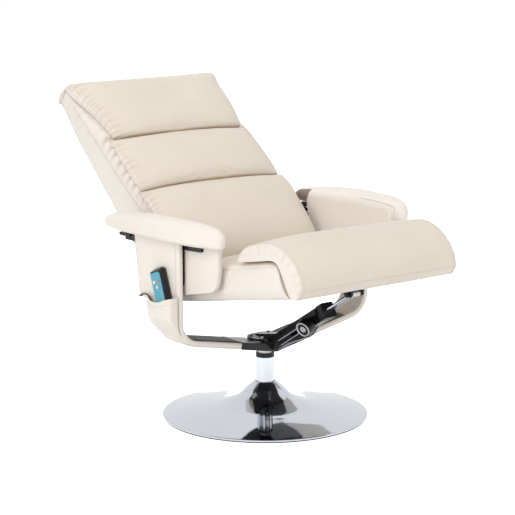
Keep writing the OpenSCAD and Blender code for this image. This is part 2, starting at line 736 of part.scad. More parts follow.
module lock_knob() color(black) guide_frame() stud_axis() difference() {
    translate([0, 0, knob_foot]) union() {
        cylinder(r = knob_d / 2 - grip_in, h = knob_h);
        translate([0, 0, knob_h * waist_share]) cylinder(r = knob_d / 2, h = knob_h * (1 - waist_share));
    }
    translate([0, 0, ring_foot]) difference() {
        cylinder(r = knob_d / 2 - ring_in, h = cut);
        translate([0, 0, -cut]) cylinder(r = knob_d / 2 - ring_in - ring_t, h = 3 * cut);
    }
    translate([0, 0, -cut]) cylinder(r = stud_d / 2, h = cut + knob_foot + knob_h * stud_share);
}

module knob_ring() color(chrome) guide_frame() stud_axis() translate([0, 0, ring_foot]) difference() {
    cylinder(r = knob_d / 2 - ring_in, h = ring_h + 1.5 * ring_sink);
    translate([0, 0, -cut]) cylinder(r = knob_d / 2 - ring_in - ring_t, h = 3 * cut);
}

module knob_stud() color(steel) guide_frame() stud_axis()
    translate([0, 0, -stud_in]) cylinder(d = stud_d, h = stud_in + knob_foot + knob_h * stud_share);

// Seat

ear_in = head_half + 1;
ear_t = 5;
bracket_l = 60;
bracket_plate_t = 4;

bracket_lip = 14;
bracket_front = 20;
ear_r = 12;
ear_drop = 9;
ear_corner = 8;
ear_rear = 26;
ear_front = 16;
pin_past = 3;

module seat_bracket() color(black) seat_frame_at() union() {
    left_too() translate([ear_in, 0, 0]) side_slab(0, ear_t) polygon(rounded([
        [-pivot_a - ear_r, pivot_b - ear_drop, ear_corner], [-pivot_a + ear_r, pivot_b - ear_drop,
            ear_corner],
        [-pivot_a + ear_rear, -bracket_plate_t / 2, 0], [-pivot_a - ear_front, -bracket_plate_t / 2, 0]]));
    translate([-ear_in - ear_t - bracket_lip, -pivot_a - bracket_front, -bracket_plate_t])
        cube([2 * (ear_in + ear_t + bracket_lip), bracket_l, bracket_plate_t]);
    translate([0, -pivot_a, pivot_b]) pin_x(pivot_d / 2, -ear_in - ear_t - pin_past, ear_in + ear_t
        + pin_past);
}

// The seat's hinge plates: [rearward, up, corner radius], as shares of the hinge's place and its eye
board_set = 16;
hinge_plate_shares = [[-0.625, 0.531, 0], [0.042, 0.531, 0.4], [1, 1.469, 1], [1.156, 1, 0.4],
    [1, 0.531, 0.8], [-0.208, 0, 0.667], [-0.625, 0.031, 0]];
module seat_frame() color("#9c7a4d") seat_frame_at() difference() {
    union() {
        translate([-board_half, -seat_depth + board_set, 0])
            cube([2 * board_half, seat_depth - board_set, board_t]);
        left_too() translate([rail_half_out - hinge_plate_t, 0, 0]) side_slab(0, hinge_plate_t)
            polygon(rounded(
            [for (g = hinge_plate_shares) [-hinge_a * g[0], hinge_b * g[1], hinge_eye_r * g[2]]]));
    }
    translate([0, -hinge_a, hinge_b]) pin_x(pin_d / 2 + fit, -seat_half - cut, seat_half + cut);
}

dust_t = 1.5;
dust_in = 30;
notch_side = 16;
notch_l = 46;
module dust_cover() color(black) seat_frame_at() difference() {
    translate([-board_half, -seat_depth + dust_in, -dust_t - slack])
        cube([2 * board_half, seat_depth - 2 * dust_in, dust_t]);
    translate([-ear_in - ear_t - notch_side, -seat_depth, -cut])
        cube([2 * (ear_in + ear_t + notch_side), seat_depth - pivot_a + notch_l, 2 * cut]);
}

// The seat pad's upper and lower chains, [distance forward, height], as shares of depth and thickness
pad_top_a_shares = [0.012, 0.012, 0.03, 0.07, 0.16, 0.3, 0.46, 0.6, 0.72, 0.82, 0.88, 0.92, 0.936, 0.952,
    0.968];
pad_top_b_shares = [0.25, 0.5, 0.7, 0.84, 0.95, 1, 1, 1, 1, 1, 0.97, 0.86, 0.5, 0.22, 0.04];
pad_top_crown_shares = [0, 0.1, 0.25, 0.5, 0.9, 1, 0.8, 0.3, 0, 0, 0, 0, 0, 0, 0];
seat_end_power = 5;
least_skin = 0.5;
skin_step = 0.01;
under_rear_share = 0.01;
under_run_share = 0.958;
board_step_in = 0.8;
board_step_out = 1.2;
function seat_section(t) =
    let (n = len(pad_top_a_shares), x = t * seat_half, inner = abs(x) < board_half + (board_step_in
        + board_step_out) / 2)
    let (low = inner ? board_t + slack : 0, k = 0.86 + 0.14 * fullness(t, seat_end_power), c = seat_crown
        * (1 - t * t))
    concat([for (j = [0:n - 1]) let (b = seat_t * pad_top_b_shares[j] * k + c * pad_top_crown_shares[j])
            [x, -seat_depth * pad_top_a_shares[j], max(low + least_skin + j * skin_step, b)]],
        [for (j = [0:n - 1]) let (i = n - 1 - j)
            [x, -seat_depth * (under_rear_share + under_run_share * i / (n - 1)), low]]);
step_shares = [(board_half + board_step_in) / seat_half, (board_half + board_step_out) / seat_half];
seat_half_shares = concat([0, 0.4, 0.7], step_shares, [0.93, 0.965, 0.99, 1]);
seat_stations = concat([for (i = [1:len(seat_half_shares) - 1]) -seat_half_shares[len(seat_half_shares) - i]],
    seat_half_shares);

module seat_pad() color(cream) seat_frame_at() difference() {
    soft_form([for (t = seat_stations) seat_section(t)]);
    motor_recess(slack);
}

seat_motor_d = 62;
seat_motor_h = 26;
seat_motor_share = 0.42;
module motor_recess(gap) translate([0, -seat_depth * seat_motor_share, board_t - cut])
    cylinder(r = seat_motor_d / 2 + gap, h = cut + seat_motor_h + gap);

module seat_motor() color(steel) seat_frame_at() translate([0, -seat_depth * seat_motor_share, board_t])
    cylinder(d = seat_motor_d, h = seat_motor_h);

// The front roll lies over the pad: its lower chain follows the pad's top with a small gap
roll_a_shares = [0.6, 0.628, 0.68, 0.75, 0.82, 0.885, 0.945, 0.995, 1.035, 1.07, 1.092, 1.1, 1.092, 1.065,
    1.035];
roll_b_shares = [1.06, 1.3, 1.44, 1.5, 1.52, 1.5, 1.4, 1.24, 1.06, 0.84, 0.6, 0.36, 0.16, 0.02, -0.03];
roll_low_a_shares = [0.602, 0.64, 0.69, 0.74, 0.79, 0.835, 0.875, 0.905, 0.928, 0.945, 0.96, 0.973, 0.984,
    0.996, 1.012];
roll_low_b_shares = [1.03, 1.016, 1.008, 1.004, 1.004, 1.004, 1.0, 0.96, 0.87, 0.7, 0.5, 0.32, 0.18, 0.06,
    -0.02];
roll_end_power = 6;
roll_drawn = 48;
roll_crown_shares = [0.4, 0.25, 0.1];
roll_tail_share = 0.3;
function roll_section(t) =
    let (n = len(roll_a_shares), x = t * seat_half, k = 0.8 + 0.2 * fullness(t, roll_end_power))
    let (c = seat_crown * (1 - t * t))
    let (low = [for (j = [0:n - 1]) [seat_depth * roll_low_a_shares[j],
        seat_t * roll_low_b_shares[j] + (j < 3 ? c * roll_crown_shares[j] : 0)]])
    let (top = [for (j = [0:n - 1]) [seat_depth * roll_a_shares[j],
        seat_t * roll_b_shares[j] * roll_scale(j) + (j < 3 ? c * roll_tail_share : 0)]])
    concat([for (j = [0:n - 1]) let (p = low[j] + (top[j] - low[j]) * k) [x, -p[0], p[1]]],
        [for (j = [0:n - 1]) let (p = low[n - 1 - j]) [x, -p[0], p[1]]]);
function roll_scale(j) = (j > 0 && j < 9) ? 1 + (roll_t - roll_drawn) / seat_t : 1;

module seat_roll() color(cream) seat_frame_at() soft_form([for (t = station_shares) roll_section(t)]);

box_half = 60;
box_l = 90;
box_h = 24;
box_rear_share = 0.165;
port_r = 4;
port_set = 12;
module control_box() color(black) seat_frame_at() difference() {
    translate([-box_half, -seat_depth * box_rear_share - box_l, -box_h])
        cube([2 * box_half, box_l, box_h - dust_t - 2 * slack]);
    translate([-box_half - port_set, -seat_depth * box_rear_share - box_l / 2, -box_h / 2]) pin_x(port_r,
        0, 2 * port_set);
}

// Back: local -Y is towards the sitter, local Z runs up the back

core_low = 4;
frame_tube_d = 20;
frame_x = back_half - 34;
frame_w = 24;

// The frame's side plates: corners about the hinge, the pivot and the tube, in units of the eye
eye = 16;
eye_hinge_shares = [[1, -0.25, 0.625], [-0.25, -1, 0.625], [-1.125, 0.125, 0.625]];
eye_pivot_shares = [[-1, -1, 0.75], [-0.75, 1.875, 0.875]];
eye_tube_shares = [[0, 3.75, 0.625], [0.625, 2.5, 0.625]];
function about(y, z, shares) = [for (g = shares) [y + eye * g[0], z + eye * g[1], eye * g[2]]];
function frame_plate() = rounded(concat(about(-hinge_w, hinge_v, eye_hinge_shares),
    about(-pivot_w, pivot_v, eye_pivot_shares), about(-frame_w, pivot_v, eye_tube_shares)));

tube_foot = 6;
tube_short = 90;
bar_low = 60;
bar_high = 130;
bar_thin = 2;
plate_lap = 2;
plate_x0 = frame_x - frame_tube_d / 2 - hinge_plate_t;
plate_x1 = frame_x - frame_tube_d / 2 + plate_lap;

module back_frame() color(black) back_frame_at() difference() {
    union() {
        left_too() {
            translate([frame_x, -frame_w, core_low + tube_foot]) cylinder(d = frame_tube_d,
                h = back_h - tube_short);
            side_slab(plate_x0, plate_x1) polygon(frame_plate());
        }
        for (v = [bar_low, back_h - bar_high]) translate([0, -frame_w, v])
            pin_x(frame_tube_d / 2 - bar_thin, -frame_x, frame_x);
    }
    translate([0, -hinge_w, hinge_v]) pin_x(pin_d / 2, -seat_half - cut, seat_half + cut);
    translate([0, -pivot_w, pivot_v]) pin_x(pin_d / 2, -seat_half - cut, seat_half + cut);
}

pin_head = 6;
pin_end = 4;
pin_out = plate_out + pin_head;
module pivot_pins() color(steel) back_frame_at() left_too() union() {
    translate([0, -pivot_w, pivot_v]) pin_x(pin_d / 2, plate_x0, pin_out);
    translate([0, -hinge_w, hinge_v]) pin_x(pin_d / 2, plate_x0, rail_half_out + pin_end);
}

// Core outline, [depth forward, height], hand-chosen shares of core depth and back height
side_skin = 10;
core_half = back_half - side_skin;
core_front_shares = [[0.174, 1], [0.25, 0.949], [0.348, 0.881], [0.435, 0.822], [0.553, 0.78],
    [0.682, 0.619], [0.845, 0.398], [0.94, 0.332]];
core_rear_shares = [[0, 0.02], [0, 0.88], [0.1, 0.93]];
core_foot_shares = [[1, -0.145], [0.9, -0.15], [0.5, -0.05], [0.2, 0]];
function core_points() = concat([for (p = core_rear_shares) [-p[0] * core_d, p[1] * back_h]],
    [for (i = [1:len(core_front_shares)]) let (p = core_front_shares[len(core_front_shares) - i])
        [-p[1] * core_d, p[0] * back_h]],
    [for (p = core_foot_shares) [-p[0] * core_d, p[1] * back_h]]);

gap_rear = 10;
gap_front = 8;
gap_foot = 24;
module back_core() color(cream_side) back_frame_at() difference() {
    across(core_half) polygon(core_points());
    left_too() {
        translate([frame_x, -frame_w, core_low - 6 * cut])
            cylinder(d = frame_tube_d + 2 * slack, h = back_h - tube_short + tube_foot + 6 * cut);
        side_slab(plate_x0 - slack, plate_x1 + slack) offset(delta = slack) polygon(frame_plate());
        side_slab(plate_x0 - slack, plate_x1 + slack) polygon([[gap_rear, -2 * back_h], [gap_rear, pivot_v],
            [-pivot_w - gap_front, pivot_v], [-gap_foot, hinge_v], [-gap_foot, -2 * back_h]]);
        translate([0, -pivot_w, pivot_v]) pin_x(pin_d / 2 + slack, frame_x - cut, pin_out);
    }
    for (v = [bar_low, back_h - bar_high]) translate([0, -frame_w, v])
        pin_x(frame_tube_d / 2 - bar_thin + slack, -frame_x, frame_x);
    back_motors_at() rotate([90, 0, 0]) cylinder(r = motor_d / 2 + slack, h = motor_h + 2 * slack);
}

motor_d = 58;
motor_h = 24;
motor_x = 92;
motor_set = 20;
motor_v_shares = [0.17, 0.43];
module back_motors_at() for (sx = [-1, 1], s = motor_v_shares)
    translate([sx * motor_x, -frame_w - motor_set, s * back_h]) children();

module back_motors() color(steel) back_frame_at() back_motors_at()
    rotate([90, 0, 0]) translate([0, 0, slack]) cylinder(d = motor_d, h = motor_h);

// The rear shell wraps the core's back and sides. Its outline: [rearward, up, corner radius], as
// shares of the shell's thickness, the back's height and the thickness; the head cushion covers its top
shell_out = 20;
shell_shares = [[0.6, -0.017, 1.2], [0.95, 0.3, 0], [1.1, 0.72, 0], [1, 0.925, 0.2], [-2.05, 0.899, 0.3],
    [-2, 0.764, 1.5], [-2.8, 0.553, 1.5], [-4.5, 0.134, 0.5], [-2.3, -0.028, 1.2]];
module back_shell() color(cream_side) back_frame_at() difference() {
    across(back_half) polygon(rounded([for (g = shell_shares) [shell_out * g[0], back_h * g[1],
        shell_out * g[2]]]));
    across(core_half + slack) polygon([[slack, -back_h / 2], [slack, 2 * back_h], [-2 * core_d, 2 * back_h],
        [-2 * core_d, -back_h / 2]]);
    across(core_half + slack) polygon([[-2 * core_d, back_low - cut], [core_low, back_low - cut],
        [core_low, 0], [-2 * core_d, 0]]);
}

// A back cushion: chains run from its lower edge to its upper edge
cushion_v_shares = [0, 0.006, 0.025, 0.06, 0.13, 0.24, 0.38, 0.52, 0.66, 0.78, 0.88, 0.95, 0.98, 0.994, 1];
lumbar_end_shares = [0.4, 3];
middle_end_shares = [0.3, 2.4];
head_end_shares = [0.75, 6];
function front_of_core(v) = core_d * lookup(v / back_h, core_front_shares);
core_gap = 0.9;
function lerp(a, b, t) = a + (b - a) * t;
function cushion_section(t, low, high, half, crown, rise, ends) =
    let (n = len(cushion_v_shares), k = ends[0] + (1 - ends[0]) * fullness(t, ends[1]))
    concat([for (j = [0:n - 1]) let (v = lerp(low, high, cushion_v_shares[j]))
            [t * lerp(half[0], half[1], cushion_v_shares[j]), -(front_of_core(v) + core_gap + crown
                * rise[j] * k), v]],
        [for (j = [0:n - 1]) let (g = (n - 1 - j) / (n - 1), v = lerp(low, high, g))
            [t * lerp(half[0], half[1], g), -(front_of_core(v) + core_gap), v]]);

module back_cushion(low, high, half, crown, rise, ends) back_frame_at()
    soft_form([for (t = station_shares) cushion_section(t, low, high, half, crown, rise, ends)]);

lumbar_low = -90;
lumbar_high = 128;
middle_high = 322;
head_tuck = 28;
cushion_gap = 1;
lumbar_rise_shares = [0.05, 0.2, 0.4, 0.62, 0.8, 0.93, 1, 1, 1, 0.98, 0.92, 0.8, 0.62, 0.4, 0.1];
middle_rise_shares = [0.1, 0.42, 0.66, 0.84, 0.95, 1, 1, 0.98, 0.92, 0.84, 0.74, 0.62, 0.48, 0.3, 0.1];

// The head cushion wraps over the top: its chains run up the front, over the core's top and down
// behind it. Heights are shares of its span, and depths past the core's top are shares of the core
head_top_set = 18.5;
head_wide = 3;
head_split = 9;
head_top_v_shares = [0, 0.009, 0.034, 0.094, 0.21, 0.373, 0.565, 0.758, 0.878, 0.942, 0.976, 1, 1, 0.968,
    0.919];
head_low_v_shares = [0, 0.094, 0.2, 0.33, 0.458, 0.587, 0.707, 0.809, 0.887, 0.939, 0.932, 0.922, 0.916,
    0.913, 0.911];
head_over_shares = [0.343, 0.212, 0.093, 0, -0.085, -0.144];
head_rise_shares = [0.12, 0.3, 0.5, 0.68, 0.82, 0.93, 1, 1, 1, 0.76, 0.7, 0.54, 0.28, 0.12, -0.05];
head_span_shares = [0, 0, 0.02, 0.08, 0.2, 0.38, 0.6, 0.82, 0.95, 1, 1, 1, 1, 1, 1];
function head_base(v, j) = j < head_split ? front_of_core(v) + core_gap : core_d * head_over_shares[j
    - head_split];
function head_section(t) =
    let (n = len(head_rise_shares), low = middle_high + cushion_gap, high = back_h - head_top_set)
    let (k = head_end_shares[0] + (1 - head_end_shares[0]) * fullness(t, head_end_shares[1]))
    let (wide = [for (g = head_span_shares) t * lerp(back_half - head_tuck, back_half + head_wide, g)])
    let (base = [for (j = [0:n - 1]) let (v = lerp(low, high, head_low_v_shares[j])) [v, head_base(v, j)]])
    let (top = [for (j = [0:n - 1]) let (v = lerp(low, high, head_top_v_shares[j]))
        [v, head_base(v, j) + head_crown * head_rise_shares[j]]])
    concat([for (j = [0:n - 1]) let (p = lerp(base[j], top[j], k)) [wide[j], -p[1], p[0]]],
        [for (j = [0:n - 1]) let (i = n - 1 - j) [wide[i], -base[i][1], base[i][0]]]);

module lumbar_cushion() color(cream) back_cushion(lumbar_low, lumbar_high, [back_half, back_half],
    lumbar_crown, lumbar_rise_shares, lumbar_end_shares);
module middle_cushion() color(cream) back_cushion(lumbar_high + cushion_gap, middle_high,
    [core_half, core_half],
    middle_crown, middle_rise_shares, middle_end_shares);
module head_cushion() color(cream) back_frame_at() soft_form([for (t = station_shares) head_section(t)]);

// Handset: local Z runs along its length, local -X is its face

handset_x = -(band_out + slack + pocket_room / 2);
module handset_frame() translate([handset_x, handset_y, handset_foot_z]) rotate([-handset_lean, 0, 0])
    children();

case_slope = 6;
face_in = 4;
face_foot = 8;
face_head = 13;
face_gap = 0.1;
key_well = 3;
key_root = 1;
module handset_case() color(black) handset_frame() difference() {
    front_slab(-handset_w / 2, handset_w / 2) polygon(rounded([
        [-handset_t / 2, 0, case_r], [handset_t / 2, 0, case_r],
        [handset_t / 2, handset_l, case_r], [-handset_t / 2, handset_l - case_slope, case_r]]));
    translate([-handset_t / 2 - cut, -handset_w / 2 + face_in, face_foot])
        cube([cut + face_t, handset_w - 2 * face_in, handset_l - face_foot - face_head]);
    keys_at() pin_x(key_r + key_gap, -handset_t / 2 - cut, -handset_t / 2 + face_t + key_travel + key_well);
}

module handset_face() color(teal) handset_frame() difference() {
    translate([-handset_t / 2, -handset_w / 2 + face_in + slack, face_foot + slack])
        cube([face_t - face_gap, handset_w - 2 * face_in - 2 * slack, handset_l - face_foot - face_head
            - 2 * slack]);
    keys_at() pin_x(key_r + key_gap, -handset_t, 0);
    lamps_at() pin_x(lamp_r + face_gap, -handset_t, 0);
}

key_r = 4.5;
key_low_share = 0.62;
key_low = handset_l * key_low_share;
key_step = 14;
key_side = 9;
module keys_at() for (k = [0:2]) key_at(k) children();
module key_at(k) translate([0, k == 0 ? 0 : (k == 1 ? -key_side : key_side), k == 0 ? key_low : key_low
    + key_step])
    children();

module key(k) handset_frame() key_at(k) pin_x(key_r, -handset_t / 2 - key_h, -handset_t / 2 + face_t
    + key_root);
module power_button() color("#e8d9c8") key(0);
module more_button() color("#c98b62") key(1);
module less_button() color("white") key(2);

lamp_r = 1.2;
lamp_count = 7;
lamp_pitch = 7;
lamp_side = 13;
lamp_first = 10;
lamp_proud = 0.4;
module lamps_at() for (k = [0:lamp_count - 1])
    translate([0, -lamp_side, key_low - lamp_first - k * lamp_pitch]) children();

module handset_lamps() color("#e8a878") handset_frame() lamps_at()
    pin_x(lamp_r, -handset_t / 2 - lamp_proud, -handset_t / 2 + face_t);

bottom_cover();
ballast_plate();
base_shell();
column_tube();
lower_bush();
column_cap();
thrust_washer();
spindle();
u_frame();
hub_channel();
hub_plate();
hub_bolts();
guide_arm();
clamp_rail();
arm_collar();
right_band_cover();
left_band_cover();
right_side_plate();
left_side_plate();
arm_bolts();
right_arm_panel();
left_arm_panel();
right_arm_pad();
left_arm_pad();
pivot_bushes();
handset_pocket();
handset_socket();
handset_cord();
slide_block();
slide_rods();
rod_head();
lock_knob();
knob_ring();
knob_stud();
seat_bracket();
seat_frame();
dust_cover();
seat_pad();
seat_roll();
seat_motor();
control_box();
back_frame();
pivot_pins();
back_shell();
back_core();
back_motors();
lumbar_cushion();
middle_cushion();
head_cushion();
handset_case();
handset_face();
handset_lamps();
power_button();
more_button();
less_button();
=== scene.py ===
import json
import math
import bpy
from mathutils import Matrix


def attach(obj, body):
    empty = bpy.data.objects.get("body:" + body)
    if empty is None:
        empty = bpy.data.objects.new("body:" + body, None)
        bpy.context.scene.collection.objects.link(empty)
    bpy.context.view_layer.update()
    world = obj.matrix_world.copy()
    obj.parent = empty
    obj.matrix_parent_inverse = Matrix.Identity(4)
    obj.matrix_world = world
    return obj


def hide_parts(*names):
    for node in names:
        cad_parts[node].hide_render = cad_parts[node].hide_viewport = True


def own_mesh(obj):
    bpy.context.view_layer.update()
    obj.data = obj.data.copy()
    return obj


bl_info = {
    "name": "Massage Recliner",
    "version": (1, 0, 0),
    "blender": (4, 5, 0),
    "location": "View3D > Sidebar > Recliner",
    "description": "Dresses the recliner's frame with leather, padding, chrome and its handset",
    "category": "Object",
}

import bmesh
import bpy
import numpy as np
from bpy.props import FloatProperty, FloatVectorProperty, PointerProperty
from mathutils import Vector, noise

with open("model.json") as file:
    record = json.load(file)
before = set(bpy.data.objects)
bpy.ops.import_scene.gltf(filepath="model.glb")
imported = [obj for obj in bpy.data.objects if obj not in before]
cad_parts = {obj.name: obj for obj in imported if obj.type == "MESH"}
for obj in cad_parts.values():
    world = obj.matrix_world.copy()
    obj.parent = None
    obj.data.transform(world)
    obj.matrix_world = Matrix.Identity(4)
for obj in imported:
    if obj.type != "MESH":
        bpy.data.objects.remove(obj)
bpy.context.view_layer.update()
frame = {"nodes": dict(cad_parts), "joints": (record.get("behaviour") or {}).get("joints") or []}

MM = 0.001
SETTLE_FRAMES = 12
SEAT_TURN = math.radians(10.3)
BACK_TURN = math.radians(44.0)


# Local frames of the seat and the back

def turned(angle, y, z):
    """Turns (y, z) by an angle about the X axis."""
    return y * math.cos(angle) - z * math.sin(angle), y * math.sin(angle) + z * math.cos(angle)


def joint_place(name):
    """The joint's place in the frame, metres."""
    return next(j["pos_m"] for j in frame["joints"] if j["name"] == name)


def frame_origin(joint, angle, y, z):
    """Where a turned frame begins, from the joint at (y, z) millimetres in it."""
    at = joint_place(joint)
    dy, dz = turned(-angle, y * MM, z * MM)
    return at[1] - dy, at[2] - dz


SEAT_Y, SEAT_Z = frame_origin("seat_tilt", SEAT_TURN, -416, -18)
BACK_Y, BACK_Z = frame_origin("back_recline", BACK_TURN, -1, -115)


def seat_point(x, forward, up):
    """Millimetres in the seat's frame to metres in the row frame."""
    x, forward, up = np.broadcast_arrays(x, forward, up)
    y, z = turned(-SEAT_TURN, -forward * MM, up * MM)
    return np.stack([x * MM, SEAT_Y + y, SEAT_Z + z], -1)


def back_point(x, up, forward):
    """Millimetres in the back's frame to metres in the row frame."""
    x, up, forward = np.broadcast_arrays(x, up, forward)
    y, z = turned(-BACK_TURN, -forward * MM, up * MM)
    return np.stack([x * MM, BACK_Y + y, BACK_Z + z], -1)


def plain_point(x, y, z):
    x, y, z = np.broadcast_arrays(x, y, z)
    return np.stack([x, y, z], -1) * MM


# Curves and tables

def smooth_line(points, count):
    """A smooth line through the points, resampled evenly to count places."""
    p = np.asarray(points, float)
    q = np.vstack([2 * p[0] - p[1], p, 2 * p[-1] - p[-2]])
    fine = []
    for i in range(len(p) - 1):
        a, b, c, d = q[i:i + 4]
        for t in np.linspace(0, 1, 12, endpoint=False):
            fine.append(0.5 * (2 * b + (c - a) * t + (2 * a - 5 * b + 4 * c - d) * t * t
                               + (3 * b - a - 3 * c + d) * t ** 3))
    fine.append(p[-1])
    fine = np.array(fine)
    run = np.concatenate([[0], np.cumsum(np.linalg.norm(np.diff(fine, axis=0), axis=1))])
    at = np.linspace(0, run[-1], count)
    return np.stack([np.interp(at, run, fine[:, k]) for k in range(p.shape[1])], -1)


def smooth_table(keys, values, at):
    """Smooth values between the keys, without overshoot."""
    keys, values, at = np.asarray(keys, float), np.asarray(values, float), np.asarray(at, float)
    slope = np.diff(values) / np.diff(keys)
    m = np.concatenate([[slope[0]], (slope[1:] + slope[:-1]) / 2, [slope[-1]]])
    flat = np.concatenate([[False], slope[1:] * slope[:-1] <= 0, [False]])
    m[flat] = 0
    i = np.clip(np.searchsorted(keys, at, side="right") - 1, 0, len(keys) - 2)
    h = keys[i + 1] - keys[i]
    t = np.clip((at - keys[i]) / h, 0, 1)
    return ((2 * t ** 3 - 3 * t ** 2 + 1) * values[i] + (t ** 3 - 2 * t ** 2 + t) * h * m[i]
            + (-2 * t ** 3 + 3 * t ** 2) * values[i + 1] + (t ** 3 - t ** 2) * h * m[i + 1])


def end_stations(half, drop, power, count):
    """Places across a width and how full the form stands there, even along the rounded ends."""
    g = np.linspace(-math.pi / 2, math.pi / 2, 721)
    t = np.sign(np.sin(g)) * np.abs(np.sin(g)) ** (2 / power)
    f = np.abs(np.cos(g)) ** (2 / power)
    run = np.concatenate([[0], np.cumsum(np.hypot(np.diff(t) * half, np.diff(f) * drop))])
    at = np.linspace(0, run[-1], count)
    return np.interp(at, run, t), np.clip(np.interp(at, run, f), 0, 1)


def wave(s, seed, period):
    """A smooth uneven wave along s, from about -1 to 1."""
    return np.array([noise.noise(Vector((v / period, seed * 7.31, seed * 1.7)))
                     for v in np.ravel(s)]).reshape(np.shape(s)) * 2


# Meshes

def new_piece(name, verts, faces, materials, smooth=True):
    """A new mesh object in the scene."""
    mesh = bpy.data.meshes.new(name)
    mesh.from_pydata([tuple(v) for v in np.reshape(verts, (-1, 3))], [], faces)
    mesh.update()
    obj = bpy.data.objects.new(name, mesh)
    bpy.context.scene.collection.objects.link(obj)
    for material in materials:
        mesh.materials.append(material)
    if smooth:
        mesh.polygons.foreach_set("use_smooth", [True] * len(mesh.polygons))
    return obj


def recalculate(obj):
    """Joins double points and turns the normals outwards."""
    bm = bmesh.new()
    bm.from_mesh(obj.data)
    bmesh.ops.remove_doubles(bm, verts=bm.verts, dist=1e-6)
    bmesh.ops.recalc_face_normals(bm, faces=bm.faces)
    bm.to_mesh(obj.data)
    bm.free()
    obj.data.update()
    return obj


def boxed_form(name, top, low, rows, materials):
    """A closed form between an upper and a lower grid, with walls of so many rows.
    Returns the object and the vertex numbers of both grids."""
    n, m = top.shape[:2]
    verts, faces = [], []
    upper = np.arange(n * m).reshape(n, m)
    verts += list(top.reshape(-1, 3))
    lower = np.arange(n * m).reshape(n, m) + len(verts)
    verts += list(low.reshape(-1, 3))
    for i in range(n - 1):
        for j in range(m - 1):
            faces.append((upper[i, j], upper[i, j + 1], upper[i + 1, j + 1], upper[i + 1, j]))
            faces.append((lower[i, j], lower[i + 1, j], lower[i + 1, j + 1], lower[i, j + 1]))
    ring = [(i, 0) for i in range(n)] + [(n - 1, j) for j in range(1, m)]
    ring += [(i, m - 1) for i in range(n - 2, -1, -1)] + [(0, j) for j in range(m - 2, 0, -1)]
    layers = [[upper[c] for c in ring]]
    for r in range(1, rows):
        layer = []
        for c in ring:
            layer.append(len(verts))
            verts.append(top[c] + (low[c] - top[c]) * r / rows)
        layers.append(layer)
    layers.append([lower[c] for c in ring])
    for a, b in zip(layers, layers[1:]):
        for k in range(len(ring)):
            l = (k + 1) % len(ring)
            faces.append((a[k], a[l], b[l], b[k]))
    obj = recalculate(new_piece(name, np.array(verts), faces, materials))
    return obj, upper, lower


def ring_faces(rows, count, closed=False):
    """Faces all round between rows of count points; closed joins the last row to the first."""
    return [(i * count + j, i * count + (j + 1) % count,
             (i + 1) % rows * count + (j + 1) % count, (i + 1) % rows * count + j)
            for i in range(rows if closed else rows - 1) for j in range(count)]


def bent(value, power):
    """A power that keeps the sign: it squares off or fills out a round section."""
    return np.sign(value) * np.abs(value) ** power


def tube(points, radius, sides=8):
    """Vertices and faces of a closed tube along points in metres."""
    p = np.asarray(points, float)
    n = len(p)
    tangent = np.gradient(p, axis=0)
    tangent /= np.linalg.norm(tangent, axis=1)[:, None]
    side = np.cross([0.31, 0.17, 0.93], tangent[0])
    verts = []
    for i in range(n):
        side = side - tangent[i] * (side @ tangent[i])
        side /= np.linalg.norm(side)
        other = np.cross(tangent[i], side)
        for k in range(sides):
            g = 2 * math.pi * k / sides
            verts.append(p[i] + radius * (side * math.cos(g) + other * math.sin(g)))
    faces = ring_faces(n, sides)
    faces.append(tuple(range(sides - 1, -1, -1)))
    faces.append(tuple((n - 1) * sides + k for k in range(sides)))
    return verts, faces


def tubes_piece(name, lines, radius, material, sides=6):
    """One piece of closed tubes, a tube along each line."""
    verts, faces = [], []
    for line in lines:
        v, f = tube(line, radius, sides)
        faces += [tuple(i + len(verts) for i in face) for face in f]
        verts += v
    return recalculate(new_piece(name, np.array(verts), faces, [material]))


def subdivide(obj, levels=1):
    """Smooths the mesh by subdivision."""
    modifier = obj.modifiers.new("Smooth", "SUBSURF")
    modifier.levels = levels
    modifier.render_levels = levels
    bake_modifiers(obj)


def bake_modifiers(obj):
    """Replaces the mesh by what its modifiers make of it."""
    graph = bpy.context.evaluated_depsgraph_get()
    mesh = bpy.data.meshes.new_from_object(obj.evaluated_get(graph), preserve_all_data_layers=True,
                                           depsgraph=graph)
    old = obj.data
    obj.modifiers.clear()
    obj.data = mesh
    mesh.name = old.name
    bpy.data.meshes.remove(old)


def coords(obj):
    """The vertices, metres."""
    co = np.zeros(len(obj.data.vertices) * 3)
    obj.data.vertices.foreach_get("co", co)
    return co.reshape(-1, 3)


def set_coords(obj, co):
    obj.data.vertices.foreach_set("co", np.asarray(co, float).ravel())
    obj.data.update()


def vertex_normals(obj):
    """The normal at each vertex."""
    no = np.zeros(len(obj.data.vertices) * 3)
    obj.data.vertices.foreach_get("normal", no)
    return no.reshape(-1, 3)


